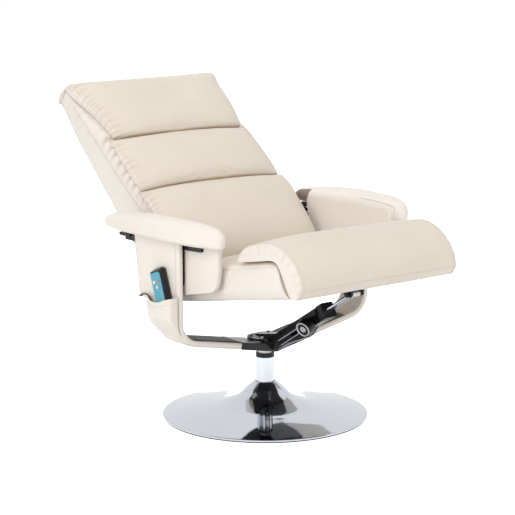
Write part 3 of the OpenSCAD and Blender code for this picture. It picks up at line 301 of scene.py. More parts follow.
def puff(obj, free, pressure, cap):
    """Fills a leather cover with air by cloth simulation. free is 0 where it is held, 1 where it is loose."""
    scene = bpy.context.scene
    rest = coords(obj)
    group = obj.vertex_groups.new(name="held")
    for i, f in enumerate(free):
        if f < 0.999:
            group.add([i], float(1 - f), "REPLACE")
    modifier = obj.modifiers.new("Cover", "CLOTH")
    cloth = modifier.settings
    cloth.quality = 4
    cloth.mass = 0.4
    cloth.tension_stiffness = 30
    cloth.compression_stiffness = 20
    cloth.shear_stiffness = 15
    cloth.bending_stiffness = 2.0
    cloth.effector_weights.gravity = 0
    cloth.use_pressure = True
    cloth.uniform_pressure_force = pressure
    cloth.vertex_group_mass = "held"
    modifier.collision_settings.use_collision = False
    modifier.point_cache.frame_start = 1
    modifier.point_cache.frame_end = SETTLE_FRAMES
    for f in range(1, SETTLE_FRAMES + 1):
        scene.frame_set(f)
    graph = bpy.context.evaluated_depsgraph_get()
    shape = obj.evaluated_get(graph).data
    out = np.zeros(len(shape.vertices) * 3)
    shape.vertices.foreach_get("co", out)
    out = out.reshape(-1, 3)
    obj.modifiers.clear()
    obj.vertex_groups.clear()
    move = out - rest
    far = np.linalg.norm(move, axis=1)
    limit = cap * np.clip(free, 0, 1)
    keep = np.where(far > 1e-9, np.minimum(far, limit) / np.maximum(far, 1e-9), 0)
    set_coords(obj, rest + move * keep[:, None])
    scene.frame_set(1)


def local_back(obj):
    """Each vertex in the back's frame, millimetres: across, up, forward."""
    co = coords(obj)
    y, z = turned(BACK_TURN, co[:, 1] - BACK_Y, co[:, 2] - BACK_Z)
    return co[:, 0] / MM, z / MM, -y / MM


def local_seat(obj):
    """Each vertex in the seat's frame, millimetres: across, forward, up."""
    co = coords(obj)
    y, z = turned(SEAT_TURN, co[:, 1] - SEAT_Y, co[:, 2] - SEAT_Z)
    return co[:, 0] / MM, -y / MM, z / MM


def fade(value, start, end):
    """1 at start, 0 at end, smooth between."""
    t = np.clip((np.asarray(value, float) - start) / (end - start), 0, 1)
    return 1 - t * t * (3 - 2 * t)


def folds(along, seed, pitch):
    """Gathered leather: 1 on the ridges and 0 in the narrow creases between them."""
    u = np.asarray(along, float) / pitch + 0.45 * wave(along, seed, 3.1 * pitch)
    ridge = np.abs(np.sin(math.pi * u)) ** 0.6
    strength = np.clip(0.65 + 0.5 * wave(along, seed + 5, 2.3 * pitch), 0.15, 1)
    return 1 - (1 - ridge) * strength


def press(obj, depth, crease=None):
    """Moves each vertex inwards by depth (m) and darkens the leather there with painted shade."""
    set_coords(obj, coords(obj) - vertex_normals(obj) * np.asarray(depth)[:, None])
    if crease is not None:
        paint_shade(obj, crease)


def paint_shade(obj, crease):
    """Paints shade into the leather where it is creased or lies in shade, keeping what was darker before."""
    # painted shade: a per-point darkening that the leather material reads
    layer = obj.data.attributes.get("crease") or obj.data.attributes.new("crease", "FLOAT", "POINT")
    before = np.zeros(len(obj.data.vertices), np.float32)
    layer.data.foreach_get("value", before)
    layer.data.foreach_set("value", np.maximum(before, np.clip(crease, 0, 1)).astype(np.float32))


def near_line(obj, line):
    """Each vertex's distance from a line and its place along it, millimetres."""
    co, p = coords(obj) / MM, np.asarray(line) / MM
    run = np.concatenate([[0], np.cumsum(np.linalg.norm(np.diff(p, axis=0), axis=1))])
    tangent = np.gradient(p, axis=0)
    tangent /= np.linalg.norm(tangent, axis=1)[:, None]
    nearest = np.concatenate([((part[:, None] - p[None]) ** 2).sum(-1).argmin(1)
                              for part in np.array_split(co, 24)])
    gap = co - p[nearest]
    along = (gap * tangent[nearest]).sum(1)
    return np.sqrt(np.maximum((gap ** 2).sum(1) - along ** 2, 0)), run[nearest] + along


def gather(obj, line, reach, depth, pitch, seed, mask=1.0, shade=0.5):
    """Gathers that run from a seam line into the cover beside it, with painted shade in their creases. depth
    is in metres.
    """
    far, along = near_line(obj, line)
    ridge = folds(along, seed, pitch)
    near = fade(far, 4, reach) * np.clip(far / 4, 0, 1) * mask
    # the creases between the ridges are pressed in and darkened with painted shade
    press(obj, depth * near * (1 - ridge), shade * near * (1 - ridge))


def soft_waves(obj, size, depth, seed):
    """Slow unevenness of a filled cover."""
    co = coords(obj)
    value = np.array([noise.noise(Vector(p / size) + Vector((seed, 0, 0))) for p in co])
    set_coords(obj, co + vertex_normals(obj) * (value * depth)[:, None])


# Sizes and colours that a user may change

class ReclinerSizes(bpy.types.PropertyGroup):
    """Sizes of the sewing, the filling and the lens"""
    seam: FloatProperty(name="Seam radius", description="Radius of the rolled edge along each seam",
                        default=0.0010, unit="LENGTH")
    thread: FloatProperty(name="Thread radius", description="Radius of the sewing thread", default=0.0004,
                          unit="LENGTH")
    stitch: FloatProperty(name="Stitch length", description="Length of one stitch", default=0.0036,
                          unit="LENGTH")
    pitch: FloatProperty(name="Stitch pitch", description="Distance from stitch to stitch", default=0.0056,
                         unit="LENGTH")
    gather: FloatProperty(name="Gather pitch",
                          description="Distance between gathers along a seam, in millimetres",
                          default=18.0)
    gather_depth: FloatProperty(name="Gather depth", description="Depth of the gathers", default=0.0024,
                                unit="LENGTH")
    pressure: FloatProperty(name="Filling pressure", description="Pressure in the covers while they settle",
                            default=4.0)
    cap: FloatProperty(name="Swell limit", description="How far a cover may swell", default=0.007,
                       unit="LENGTH")
    lens: FloatProperty(name="Lens", description="Focal length of the camera in millimetres", default=135.5)


class ReclinerColours(bpy.types.PropertyGroup):
    """Colours of the finishes"""
    # the seat and side colours are lit and shaded copies of one leather; the seat colour is the darker copy,
    # painted shade on faces that look forward and up
    seat: FloatVectorProperty(name="Seat leather", description="Leather of the seat and the back cushions",
                              subtype="COLOR", default=(0.715, 0.65, 0.562))
    # the side colour is the lighter copy: painted light on the arms, band, rear and the faces that look
    # sideways
    side: FloatVectorProperty(name="Side leather", description="Leather of the arms, the band and the rear",
                              subtype="COLOR", default=(0.82, 0.772, 0.712))
    steel: FloatVectorProperty(name="Black steel", description="Powder-coated steel", subtype="COLOR",
                               default=(0.005, 0.005, 0.006))
    chrome: FloatVectorProperty(name="Chrome", description="Chrome of the base, the column and the rods",
                                subtype="COLOR", default=(0.60, 0.63, 0.68))
    bare: FloatVectorProperty(name="Plain steel", description="Zinc-plated steel", subtype="COLOR",
                              default=(0.50, 0.50, 0.51))
    plastic: FloatVectorProperty(name="Black plastic", description="Moulded black plastic", subtype="COLOR",
                                 default=(0.006, 0.006, 0.007))
    face: FloatVectorProperty(name="Handset face", description="Blue-green face of the handset",
                              subtype="COLOR",
                              default=(0.075, 0.37, 0.50))


# Materials

def add(tree, kind, values=None, **settings):
    """A new node with its socket values and settings."""
    node = tree.nodes.new(kind)
    for key, value in settings.items():
        setattr(node, key, value)
    for key, value in (values or {}).items():
        node.inputs[key].default_value = value
    return node


def new_group(name, inputs, outputs):
    """A shader node group with its sockets."""
    tree = bpy.data.node_groups.new(name, "ShaderNodeTree")
    for label, kind, default in inputs:
        socket = tree.interface.new_socket(name=label, in_out="INPUT", socket_type=kind)
        if default is not None:
            socket.default_value = default
    for label, kind in outputs:
        tree.interface.new_socket(name=label, in_out="OUTPUT", socket_type=kind)
    return tree, tree.nodes.new("NodeGroupInput"), tree.nodes.new("NodeGroupOutput")


def grain_group():
    """Leather: small pebbles with fine valleys, slow creases, and a mask for uneven dye with painted shade in
    the valleys.
    """
    tree, given, out = new_group(
        "Leather grain",
        [("Vector", "NodeSocketVector", None), ("Pebbles", "NodeSocketFloat", 520.0),
         ("Creases", "NodeSocketFloat", 0.35)],
        [("Height", "NodeSocketFloat"), ("Shade", "NodeSocketFloat")])
    link = tree.links.new
    warp = add(tree, "ShaderNodeTexNoise", {"Scale": 60.0, "Detail": 2.0})
    mix = add(tree, "ShaderNodeMix", {0: 0.006}, data_type="VECTOR")
    cells = add(tree, "ShaderNodeTexVoronoi", {}, feature="DISTANCE_TO_EDGE")
    valley = add(tree, "ShaderNodeMapRange", {"From Max": 0.22})
    slow = add(tree, "ShaderNodeTexNoise",
               {"Scale": 34.0, "Detail": 5.0, "Roughness": 0.62, "Distortion": 0.8})
    scaled = add(tree, "ShaderNodeMath", operation="MULTIPLY")
    total = add(tree, "ShaderNodeMath", operation="ADD")
    dye = add(tree, "ShaderNodeTexNoise", {"Scale": 7.0, "Detail": 4.0})
    blend = add(tree, "ShaderNodeMath", {1: 0.75}, operation="MULTIPLY")
    # painted shade: the grain's valleys darken the colour, added to the uneven dye
    valley_shade = add(tree, "ShaderNodeMath", {1: 0.25}, operation="MULTIPLY")
    flip = add(tree, "ShaderNodeMath", {0: 1.0}, operation="SUBTRACT")
    shade = add(tree, "ShaderNodeMath", operation="ADD")
    link(given.outputs["Vector"], warp.inputs["Vector"])
    link(given.outputs["Vector"], mix.inputs["A"])
    link(warp.outputs["Color"], mix.inputs[5])
    link(mix.outputs[1], cells.inputs["Vector"])
    link(given.outputs["Pebbles"], cells.inputs["Scale"])
    link(cells.outputs["Distance"], valley.inputs["Value"])
    link(given.outputs["Vector"], slow.inputs["Vector"])
    link(slow.outputs[0], scaled.inputs[0])
    link(given.outputs["Creases"], scaled.inputs[1])
    link(valley.outputs[0], total.inputs[0])
    link(scaled.outputs[0], total.inputs[1])
    link(total.outputs[0], out.inputs["Height"])
    link(given.outputs["Vector"], dye.inputs["Vector"])
    link(dye.outputs[0], blend.inputs[0])
    link(valley.outputs[0], flip.inputs[1])
    link(flip.outputs[0], valley_shade.inputs[0])
    link(blend.outputs[0], shade.inputs[0])
    link(valley_shade.outputs[0], shade.inputs[1])
    link(shade.outputs[0], out.inputs["Shade"])
    return tree


def speckle_group():
    """Moulded, coated or plated surfaces: fine texture, smudges and a wear mask."""
    tree, given, out = new_group(
        "Fine finish",
        [("Vector", "NodeSocketVector", None), ("Fineness", "NodeSocketFloat", 900.0),
         ("Smudges", "NodeSocketFloat", 14.0)],
        [("Height", "NodeSocketFloat"), ("Smudge", "NodeSocketFloat")])
    link = tree.links.new
    fine = add(tree, "ShaderNodeTexNoise", {"Detail": 2.0})
    slow = add(tree, "ShaderNodeTexNoise", {"Detail": 5.0, "Roughness": 0.6, "Distortion": 0.4})
    for part, size in ((fine, "Fineness"), (slow, "Smudges")):
        link(given.outputs["Vector"], part.inputs["Vector"])
        link(given.outputs[size], part.inputs["Scale"])
    link(fine.outputs[0], out.inputs["Height"])
    link(slow.outputs[0], out.inputs["Smudge"])
    return tree


def begin_material(name):
    """A new material with its tree, its shader and its coordinates."""
    material = bpy.data.materials.new(name)
    material.use_nodes = True
    tree = material.node_tree
    shader = next(n for n in tree.nodes if n.type == "BSDF_PRINCIPLED")
    place = add(tree, "ShaderNodeTexCoord")
    return material, tree, shader, place


def group_node(tree, name, place, values):
    """A node of the named group, fed with object coordinates."""
    node = add(tree, "ShaderNodeGroup", node_tree=bpy.data.node_groups[name])
    for key, value in values.items():
        node.inputs[key].default_value = value
    tree.links.new(place.outputs["Object"], node.inputs["Vector"])
    return node


def ranged(tree, source, low, high):
    """Spreads a noise between two values."""
    part = add(tree, "ShaderNodeMapRange",
               {"From Min": 0.25, "From Max": 0.75, "To Min": low, "To Max": high})
    tree.links.new(source, part.inputs["Value"])
    return part.outputs[0]


def two_tone(tree, factor, first, second):
    """Mixes two colours, or sockets, by a factor."""
    part = add(tree, "ShaderNodeMix", data_type="RGBA")
    tree.links.new(factor, part.inputs[0])
    for index, colour in ((6, first), (7, second)):
        if isinstance(colour, bpy.types.NodeSocket):
            tree.links.new(colour, part.inputs[index])
        else:
            part.inputs[index].default_value = (*colour, 1)
    return part.outputs[2]


def bumped(tree, shader, height, strength, distance):
    """Feeds a height to the shader as a bump."""
    bump = add(tree, "ShaderNodeBump", {"Strength": strength, "Distance": distance})
    tree.links.new(height, bump.inputs["Height"])
    tree.links.new(bump.outputs[0], shader.inputs["Normal"])


def leather(name, colour, pebbles=520.0, rough=(0.42, 0.56), painted_shade_tone=(0.62, 0.52, 0.44)):
    """Grained leather, darkened by painted shade where its per-point shade attribute says."""
    material, tree, shader, place = begin_material(name)
    grain = group_node(tree, "Leather grain", place, {"Pebbles": pebbles})
    dark = [c * k for c, k in zip(colour, (0.945, 0.93, 0.915))]
    # uneven dye, with painted shade in the grain's valleys
    dye_and_valley_shade = two_tone(tree, ranged(tree, grain.outputs["Shade"], 0.0, 1.0), colour, dark)
    # painted shade from the mesh: creases, gaps and shaded faces darken towards the shade tone
    paint_shade = add(tree, "ShaderNodeAttribute", attribute_name="crease", attribute_type="GEOMETRY")
    tinted = two_tone(tree, paint_shade.outputs["Fac"], dye_and_valley_shade, [c * k for c, k in zip(colour, painted_shade_tone)])
    tree.links.new(tinted, shader.inputs["Base Color"])
    tree.links.new(ranged(tree, grain.outputs["Shade"], *rough), shader.inputs["Roughness"])
    shader.inputs["Specular IOR Level"].default_value = 0.42
    shader.inputs["Coat Weight"].default_value = 0.06
    shader.inputs["Coat Roughness"].default_value = 0.35
    bumped(tree, shader, grain.outputs["Height"], 0.35, 0.0004)
    return material


def finish(name, colour, metal=0.0, rough=(0.35, 0.5), fine=900.0, smudges=14.0, bump=0.2, tone=0.85,
           gloss=0.5):
    """A moulded, coated or plated surface: fine gives the texture's scale, tone the smudges' shade."""
    material, tree, shader, place = begin_material(name)
    grain = group_node(tree, "Fine finish", place, {"Fineness": fine, "Smudges": smudges})
    spread = two_tone(tree, ranged(tree, grain.outputs["Smudge"], 0.0, 1.0), colour,
                      [c * tone for c in colour])
    tree.links.new(spread, shader.inputs["Base Color"])
    tree.links.new(ranged(tree, grain.outputs["Smudge"], *rough), shader.inputs["Roughness"])
    shader.inputs["Metallic"].default_value = metal
    shader.inputs["Specular IOR Level"].default_value = gloss
    if bump:
        bumped(tree, shader, grain.outputs["Height"], bump, 0.0002)
    return material


def timber_material():
    """Plain wood with soft rings."""
    material, tree, shader, place = begin_material("Timber")
    grain = group_node(tree, "Fine finish", place, {"Fineness": 420.0, "Smudges": 9.0})
    rings = add(tree, "ShaderNodeTexWave",
                {"Scale": 26.0, "Distortion": 5.0, "Detail": 3.0, "Detail Scale": 1.6},
                bands_direction="Y")
    tree.links.new(place.outputs["Object"], rings.inputs["Vector"])
    wood = two_tone(tree, rings.outputs["Fac"], (0.42, 0.27, 0.13), (0.30, 0.17, 0.075))
    stained = two_tone(tree, grain.outputs["Smudge"], wood, (0.36, 0.22, 0.10))
    tree.links.new(stained, shader.inputs["Base Color"])
    tree.links.new(ranged(tree, grain.outputs["Smudge"], 0.55, 0.7), shader.inputs["Roughness"])
    bumped(tree, shader, grain.outputs["Height"], 0.3, 0.0003)
    return material


def cloth_material():
    """Thin black woven cloth."""
    material, tree, shader, place = begin_material("Dust cloth")
    weave = []
    for axis in ("X", "Y"):
        wave_node = add(tree, "ShaderNodeTexWave", {"Scale": 160.0, "Distortion": 0.4}, bands_direction=axis)
        tree.links.new(place.outputs["Object"], wave_node.inputs["Vector"])
        weave.append(wave_node.outputs["Fac"])
    both = add(tree, "ShaderNodeMath", operation="MULTIPLY")
    tree.links.new(weave[0], both.inputs[0])
    tree.links.new(weave[1], both.inputs[1])
    woven = two_tone(tree, both.outputs[0], (0.010, 0.010, 0.011), (0.03, 0.03, 0.032))
    tree.links.new(woven, shader.inputs["Base Color"])
    tree.links.new(ranged(tree, both.outputs[0], 0.8, 0.95), shader.inputs["Roughness"])
    bumped(tree, shader, both.outputs[0], 0.5, 0.0003)
    return material


MADE = {}
# this factor darkens the piping as painted shade along the seams, and darkens the sewing thread
SEAM_SHADE_AND_THREAD_TONE = 0.80


def paint(key):
    """The finish of this name, made on first use."""
    if key in MADE:
        return MADE[key]
    c = bpy.context.scene.recliner_colours
    makers = {
        "seat": lambda: leather("Seat leather", tuple(c.seat)),
        "side": lambda: leather("Side leather", tuple(c.side)),
        # painted shade: the piping is the side leather made darker
        "welt": lambda: leather("Welt leather", [v * SEAM_SHADE_AND_THREAD_TONE for v in c.side]),
        # painted shade: near-black leather for the bands' shaded inner faces
        "liner": lambda: leather("Black liner", (0.018, 0.017, 0.017), pebbles=480.0, rough=(0.45, 0.6)),
        # painted shade: brown leather for shaded faces on the bands and the arm pads
        "lining": lambda: leather("Brown lining", (0.235, 0.185, 0.145), pebbles=480.0, rough=(0.5, 0.65),
                                  painted_shade_tone=(0.4, 0.36, 0.33)),
        "thread": lambda: finish("Sewing thread", [v * SEAM_SHADE_AND_THREAD_TONE for v in c.seat], rough=(0.6, 0.75),
                                 fine=1500.0),
        "steel": lambda: finish("Black powder coat", tuple(c.steel), rough=(0.18, 0.32), fine=1400.0,
                                smudges=18.0, tone=1.6, gloss=0.28),
        "chrome": lambda: finish("Mirror chrome", tuple(c.chrome), metal=1.0, rough=(0.035, 0.075),
                                 fine=300.0, smudges=9.0, bump=0.0, tone=0.96),
        "bare": lambda: finish("Plain steel", tuple(c.bare), metal=1.0, rough=(0.28, 0.42), fine=700.0,
                               smudges=30.0, bump=0.25),
        "plastic": lambda: finish("Black plastic", tuple(c.plastic), rough=(0.3, 0.44), fine=1100.0,
                                  smudges=12.0, bump=0.3, tone=1.4, gloss=0.28),
        "gloss": lambda: finish("Handset shell", (0.010, 0.010, 0.012), rough=(0.24, 0.36), fine=1200.0,
                                smudges=20.0, bump=0.12, tone=1.3, gloss=0.3),
        "white": lambda: finish("White plastic", (0.75, 0.74, 0.71), rough=(0.4, 0.5), fine=1000.0),
        "face": lambda: finish("Handset face", tuple(c.face), rough=(0.3, 0.4), fine=1000.0, smudges=40.0,
                               bump=0.1, tone=0.88),
        "dots": lambda: finish("Speaker dots", (0.012, 0.10, 0.14), rough=(0.5, 0.6)),
        "cream": lambda: finish("Cream key", (0.80, 0.68, 0.56), rough=(0.35, 0.45)),
        "copper": lambda: finish("Copper key", (0.56, 0.26, 0.13), metal=0.3, rough=(0.35, 0.45)),
        "amber": lambda: finish("Amber lamp", (0.80, 0.45, 0.25), rough=(0.3, 0.4)),
        "cord": lambda: finish("Cord sheath", (0.012, 0.012, 0.013), rough=(0.4, 0.52), fine=1300.0,
                               smudges=60.0, bump=0.3, tone=1.4),
        "timber": timber_material,
        "cloth": cloth_material,
    }
    MADE[key] = makers[key]()
    return MADE[key]


# Stitches along every seam of a body

SEAMS = {}
STITCH_UNEVENNESS, STITCH_SEED = 0.12, 7


def seam(body, line, lift=0.0):
    """Keeps a seam line (m) for its body's stitches."""
    SEAMS.setdefault(body, []).append(np.asarray(line, float) + lift)


def stitch_tree(sizes):
    """The node tree that lays stitches along a seam."""
    tree = bpy.data.node_groups.new("Stitches along a seam", "GeometryNodeTree")
    for label, kind, default in (
            ("Geometry", "NodeSocketGeometry", None), ("Pitch", "NodeSocketFloat", sizes.pitch),
            ("Length", "NodeSocketFloat", sizes.stitch), ("Radius", "NodeSocketFloat", sizes.thread),
            ("Unevenness", "NodeSocketFloat", STITCH_UNEVENNESS), ("Seed", "NodeSocketInt", STITCH_SEED),
            ("Material", "NodeSocketMaterial", None)):
        socket = tree.interface.new_socket(name=label, in_out="INPUT", socket_type=kind)
        if default is not None:
            socket.default_value = default
    tree.interface.new_socket(name="Geometry", in_out="OUTPUT", socket_type="NodeSocketGeometry")
    link = tree.links.new
    given = tree.nodes.new("NodeGroupInput")
    out = tree.nodes.new("NodeGroupOutput")
    curve = add(tree, "GeometryNodeMeshToCurve")
    spread = add(tree, "GeometryNodeCurveToPoints", mode="LENGTH")
    stitch = add(tree, "GeometryNodeMeshCylinder", {"Vertices": 5, "Side Segments": 1, "Fill Segments": 1})
    random = add(tree, "FunctionNodeRandomValue", data_type="FLOAT")
    low = add(tree, "ShaderNodeMath", {0: 1.0}, operation="SUBTRACT")
    high = add(tree, "ShaderNodeMath", {0: 1.0}, operation="ADD")
    size = add(tree, "ShaderNodeCombineXYZ", {"X": 1.0, "Y": 1.0})
    put = add(tree, "GeometryNodeInstanceOnPoints")
    real = add(tree, "GeometryNodeRealizeInstances")
    coat = add(tree, "GeometryNodeSetMaterial")
    link(given.outputs["Geometry"], curve.inputs["Mesh"])
    link(curve.outputs["Curve"], spread.inputs["Curve"])
    link(given.outputs["Pitch"], spread.inputs["Length"])
    link(given.outputs["Radius"], stitch.inputs["Radius"])
    link(given.outputs["Length"], stitch.inputs["Depth"])
    link(given.outputs["Unevenness"], low.inputs[1])
    link(given.outputs["Unevenness"], high.inputs[1])
    link(low.outputs[0], random.inputs[2])
    link(high.outputs[0], random.inputs[3])
    link(given.outputs["Seed"], random.inputs["Seed"])
    link(random.outputs[1], size.inputs["Z"])
    link(spread.outputs["Points"], put.inputs["Points"])
    link(spread.outputs["Rotation"], put.inputs["Rotation"])
    link(stitch.outputs["Mesh"], put.inputs["Instance"])
    link(size.outputs[0], put.inputs["Scale"])
    link(put.outputs["Instances"], real.inputs["Geometry"])
    link(real.outputs["Geometry"], coat.inputs["Geometry"])
    link(given.outputs["Material"], coat.inputs["Material"])
    link(coat.outputs["Geometry"], out.inputs["Geometry"])
    return tree


def repeat_along(name, lines, tree, values, material):
    """A plain mesh of what the tree repeats along the lines."""
    verts, edges = [], []
    for line in lines:
        edges += [(len(verts) + i, len(verts) + i + 1) for i in range(len(line) - 1)]
        verts += [tuple(p) for p in line]
    mesh = bpy.data.meshes.new(name)
    mesh.from_pydata(verts, edges, [])
    obj = bpy.data.objects.new(name, mesh)
    bpy.context.scene.collection.objects.link(obj)
    modifier = obj.modifiers.new("Repeat", "NODES")
    modifier.node_group = tree
    for item in tree.interface.items_tree:
        if item.item_type == "SOCKET" and item.in_out == "INPUT" and item.name in values:
            modifier[item.identifier] = values[item.name]
        elif item.item_type == "SOCKET" and item.in_out == "INPUT" and item.name == "Material":
            modifier[item.identifier] = material
    bake_modifiers(obj)
    if not obj.data.materials:
        obj.data.materials.append(material)
    return obj


def settle(obj, body, replaced=()):
    """Gives a finished piece its body and hides the nodes it stands for."""
    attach(obj, body)
    if replaced:
        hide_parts(*replaced)
    return obj


def smooth_piece(obj):
    """One level of subdivision, shaded smooth."""
    subdivide(obj)
    obj.data.polygons.foreach_set("use_smooth", [True] * len(obj.data.polygons))
    return obj


def piping(name, lines, body):
    """A thin rolled edge along the lines, in side leather darkened as painted shade along the seam."""
    rolled = tubes_piece(name, lines, bpy.context.scene.recliner_sizes.seam, paint("welt"), 6)
    return settle(rolled, body)


def lit_sideways_faces(obj, share):
    """The lighter side leather on the faces that look sideways: painted light on the sides."""
    for polygon in obj.data.polygons:
        if abs(polygon.normal.x) > share:
            polygon.material_index = 1


def lines_at(obj, numbers, lift):
    """The surface line through these vertices, lifted outwards."""
    co, no = coords(obj), vertex_normals(obj)
    numbers = list(numbers)
    return co[numbers] + no[numbers] * lift


# The outlines of the back in its own frame, and the halves and depths of back and seat, millimetres

CORE_V = [-86, 100, 143.8, 200.1, 250.1, 318.0, 392.2, 485.9, 540.5]
CORE_W = [118, 118, 112.0, 104.0, 97.0, 92.0, 73.0, 47.0, 39.2]
SHELL_V = [-16, 77, 210, 318, 439, 517]
SHELL_W = [46, 90, 71, 56, 40, 41]
BACK_HALF, SEAT_HALF = 250.0, 268.0
SEAT_DEPTH, SEAT_T, SEAT_CROWN = 484.0, 97.0, 10.0


def core_front(v):
    """How far the foam core reaches forward at this height."""
    return np.interp(v, CORE_V, CORE_W)


# Operators

CAMERA_PLACE, CAMERA_WAY = (-3.25271, -3.98371, 1.45550), (0.61739, 0.76238, -0.19392)
# Name, place, aim, size in metres, power in watts, colour
LAMPS = (("Left softbox", (-3.2, -1.2, 1.9), (0, 0, 0.45), 2.2, 66, (1.0, 0.985, 0.96)),
         ("Front softbox", (0.8, -2.6, 1.0), (0, 0, 0.5), 1.8, 18, (1.0, 0.99, 0.98)),
         ("Top softbox", (0.4, 0.2, 3.4), (0, 0, 0.4), 2.6, 33, (1.0, 1.0, 1.0)),
         ("Rear softbox", (0.8, 3.2, 2.2), (0, 0, 0.5), 2.2, 22, (1.0, 1.0, 1.0)))


class RECLINER_OT_stage(bpy.types.Operator):
    """Camera, floor, lamps and world"""
    bl_idname = "recliner.stage"
    bl_label = "Stage"

    def execute(self, context):
        scene = context.scene
        scene.view_settings.view_transform = "Standard"
        camera = bpy.data.objects.new("Camera", bpy.data.cameras.new("Camera"))
        camera.location = CAMERA_PLACE
        camera.rotation_euler = Vector(CAMERA_WAY).to_track_quat("-Z", "Y").to_euler()
        camera.data.lens = scene.recliner_sizes.lens
        camera.data.sensor_width = 36
        camera.data.clip_end = 60
        scene.collection.objects.link(camera)
        scene.camera = camera

        verts = [(-14, -14, 0), (14, -14, 0), (14, 14, 0), (-14, 14, 0)]
        floor = new_piece("floor", np.array(verts, float), [(0, 1, 2, 3)], [], False)
        material, tree, shader, place = begin_material("Pale floor")
        speck = add(tree, "ShaderNodeTexNoise", {"Scale": 3.0, "Detail": 2.0})
        tree.links.new(place.outputs["Object"], speck.inputs["Vector"])
        tone = two_tone(tree, speck.outputs[0], (0.90, 0.90, 0.90), (0.88, 0.88, 0.88))
        tree.links.new(tone, shader.inputs["Base Color"])
        shader.inputs["Roughness"].default_value = 0.9
        shader.inputs["Emission Color"].default_value = (1, 1, 1, 1)
        path = add(tree, "ShaderNodeLightPath")
        seen = add(tree, "ShaderNodeMath", operation="MAXIMUM")
        level = add(tree, "ShaderNodeMath", {1: 0.62}, operation="MULTIPLY")
        tree.links.new(path.outputs["Is Camera Ray"], seen.inputs[0])
        tree.links.new(path.outputs["Is Glossy Ray"], seen.inputs[1])
        tree.links.new(seen.outputs[0], level.inputs[0])
        tree.links.new(level.outputs[0], shader.inputs["Emission Strength"])
        floor.data.materials.append(material)

        world = bpy.data.worlds.new("Studio")
        scene.world = world
        world.use_nodes = True
        tree = world.node_tree
        back = next(n for n in tree.nodes if n.type == "BACKGROUND")
        path = add(tree, "ShaderNodeLightPath")
        most = add(tree, "ShaderNodeMath", operation="MAXIMUM")
        all_seen = add(tree, "ShaderNodeMath", operation="MAXIMUM")
        tree.links.new(path.outputs["Is Camera Ray"], most.inputs[0])
        tree.links.new(path.outputs["Is Glossy Ray"], most.inputs[1])
        tree.links.new(most.outputs[0], all_seen.inputs[0])
        tree.links.new(path.outputs["Is Transmission Ray"], all_seen.inputs[1])
        strength = add(tree, "ShaderNodeMapRange", {"To Min": 0.52, "To Max": 1.0})
        tree.links.new(all_seen.outputs[0], strength.inputs["Value"])
        tree.links.new(strength.outputs[0], back.inputs["Strength"])
        back.inputs["Color"].default_value = (1, 1, 1, 1)

        for name, place_at, aim, size, power, colour in LAMPS:
            data = bpy.data.lights.new(name, "AREA")
            data.size = size
            data.energy = power
            data.color = colour
            data.use_shadow = True
            lamp = bpy.data.objects.new(name, data)
            lamp.location = place_at
            lamp.visible_glossy = False
            lamp.rotation_euler = (Vector(aim) - Vector(place_at)).to_track_quat("-Z", "Y").to_euler()
            scene.collection.objects.link(lamp)
        grain_group()
        speckle_group()
        return {"FINISHED"}


CORD_ROUTE = [
    (-347, -30.7, 329.2), (-347, -32.6, 323), (-347, -31, 317), (-347, -25, 313.8), (-347, -15, 313),
    (-347, -4, 313.1), (-346.8, 8, 313.5), (-346.2, 20, 315), (-345.4, 30, 319), (-344.6, 38, 326),
    (-344, 44, 335), (-344, 48, 345), (-344, 52, 355), (-343.8, 57, 364), (-343, 65, 370),
    (-342, 75, 372), (-340.5, 86, 371), (-339, 97, 368.5), (-338, 107, 364.5), (-335.8, 114.5, 361),
    (-330, 118.5, 359), (-322.5, 119.5, 358.3), (-315, 118, 358.3), (-309, 112, 359),
    (-306, 103, 360), (-305, 93, 359.5), (-304.9, 84, 354), (-305, 77, 346), (-305.2, 71, 340),
    (-305.3, 66.4, 338)]
CORD_RADIUS = 0.002


class RECLINER_OT_cord(bpy.types.Operator):
    """The handset's cord, from its foot to the socket in the band"""
    bl_idname = "recliner.cord"
    bl_label = "Handset cord"

    def execute(self, context):
        line = smooth_line(np.array(CORD_ROUTE) * MM, 110)
        cord = tubes_piece("handset_lead", [line], CORD_RADIUS, paint("cord"), 12)
        settle(cord, "swivel", ["handset_cord"])
        return {"FINISHED"}


NODE_PAINT = {
    "steel": ["u_frame", "hub_channel", "hub_plate", "guide_arm", "right_side_plate", "left_side_plate",
              "seat_bracket",
              "back_frame", "arm_bolts", "clamp_rail", "pivot_pins"],
    "plastic": ["bottom_cover", "column_cap", "arm_collar", "handset_socket", "slide_block", "lock_knob",
                "control_box",
                "pivot_bushes"],
    "chrome": ["column_tube", "slide_rods"],
    "bare": ["ballast_plate", "thrust_washer", "spindle", "hub_bolts", "rod_head", "knob_stud", "seat_motor",
             "back_motors", "knob_ring"],
    "white": ["lower_bush"],
    "timber": ["seat_frame"],
    "cloth": ["dust_cover"],
    "cream": ["power_button"],
    "copper": ["more_button"],
    "side": ["less_button"],
    "amber": ["handset_lamps"],
}


class RECLINER_OT_finishes(bpy.types.Operator):
    """Finishes on the CAD parts that stay as they are"""
    bl_idname = "recliner.finishes"
    bl_label = "Steel, chrome and plastic"

    def execute(self, context):
        for key, names in NODE_PAINT.items():
            for name in names:
                obj = frame["nodes"][name]
                for slot in obj.material_slots:
                    slot.material = paint(key)
                if not obj.material_slots:
                    obj.data.materials.append(paint(key))
        return {"FINISHED"}


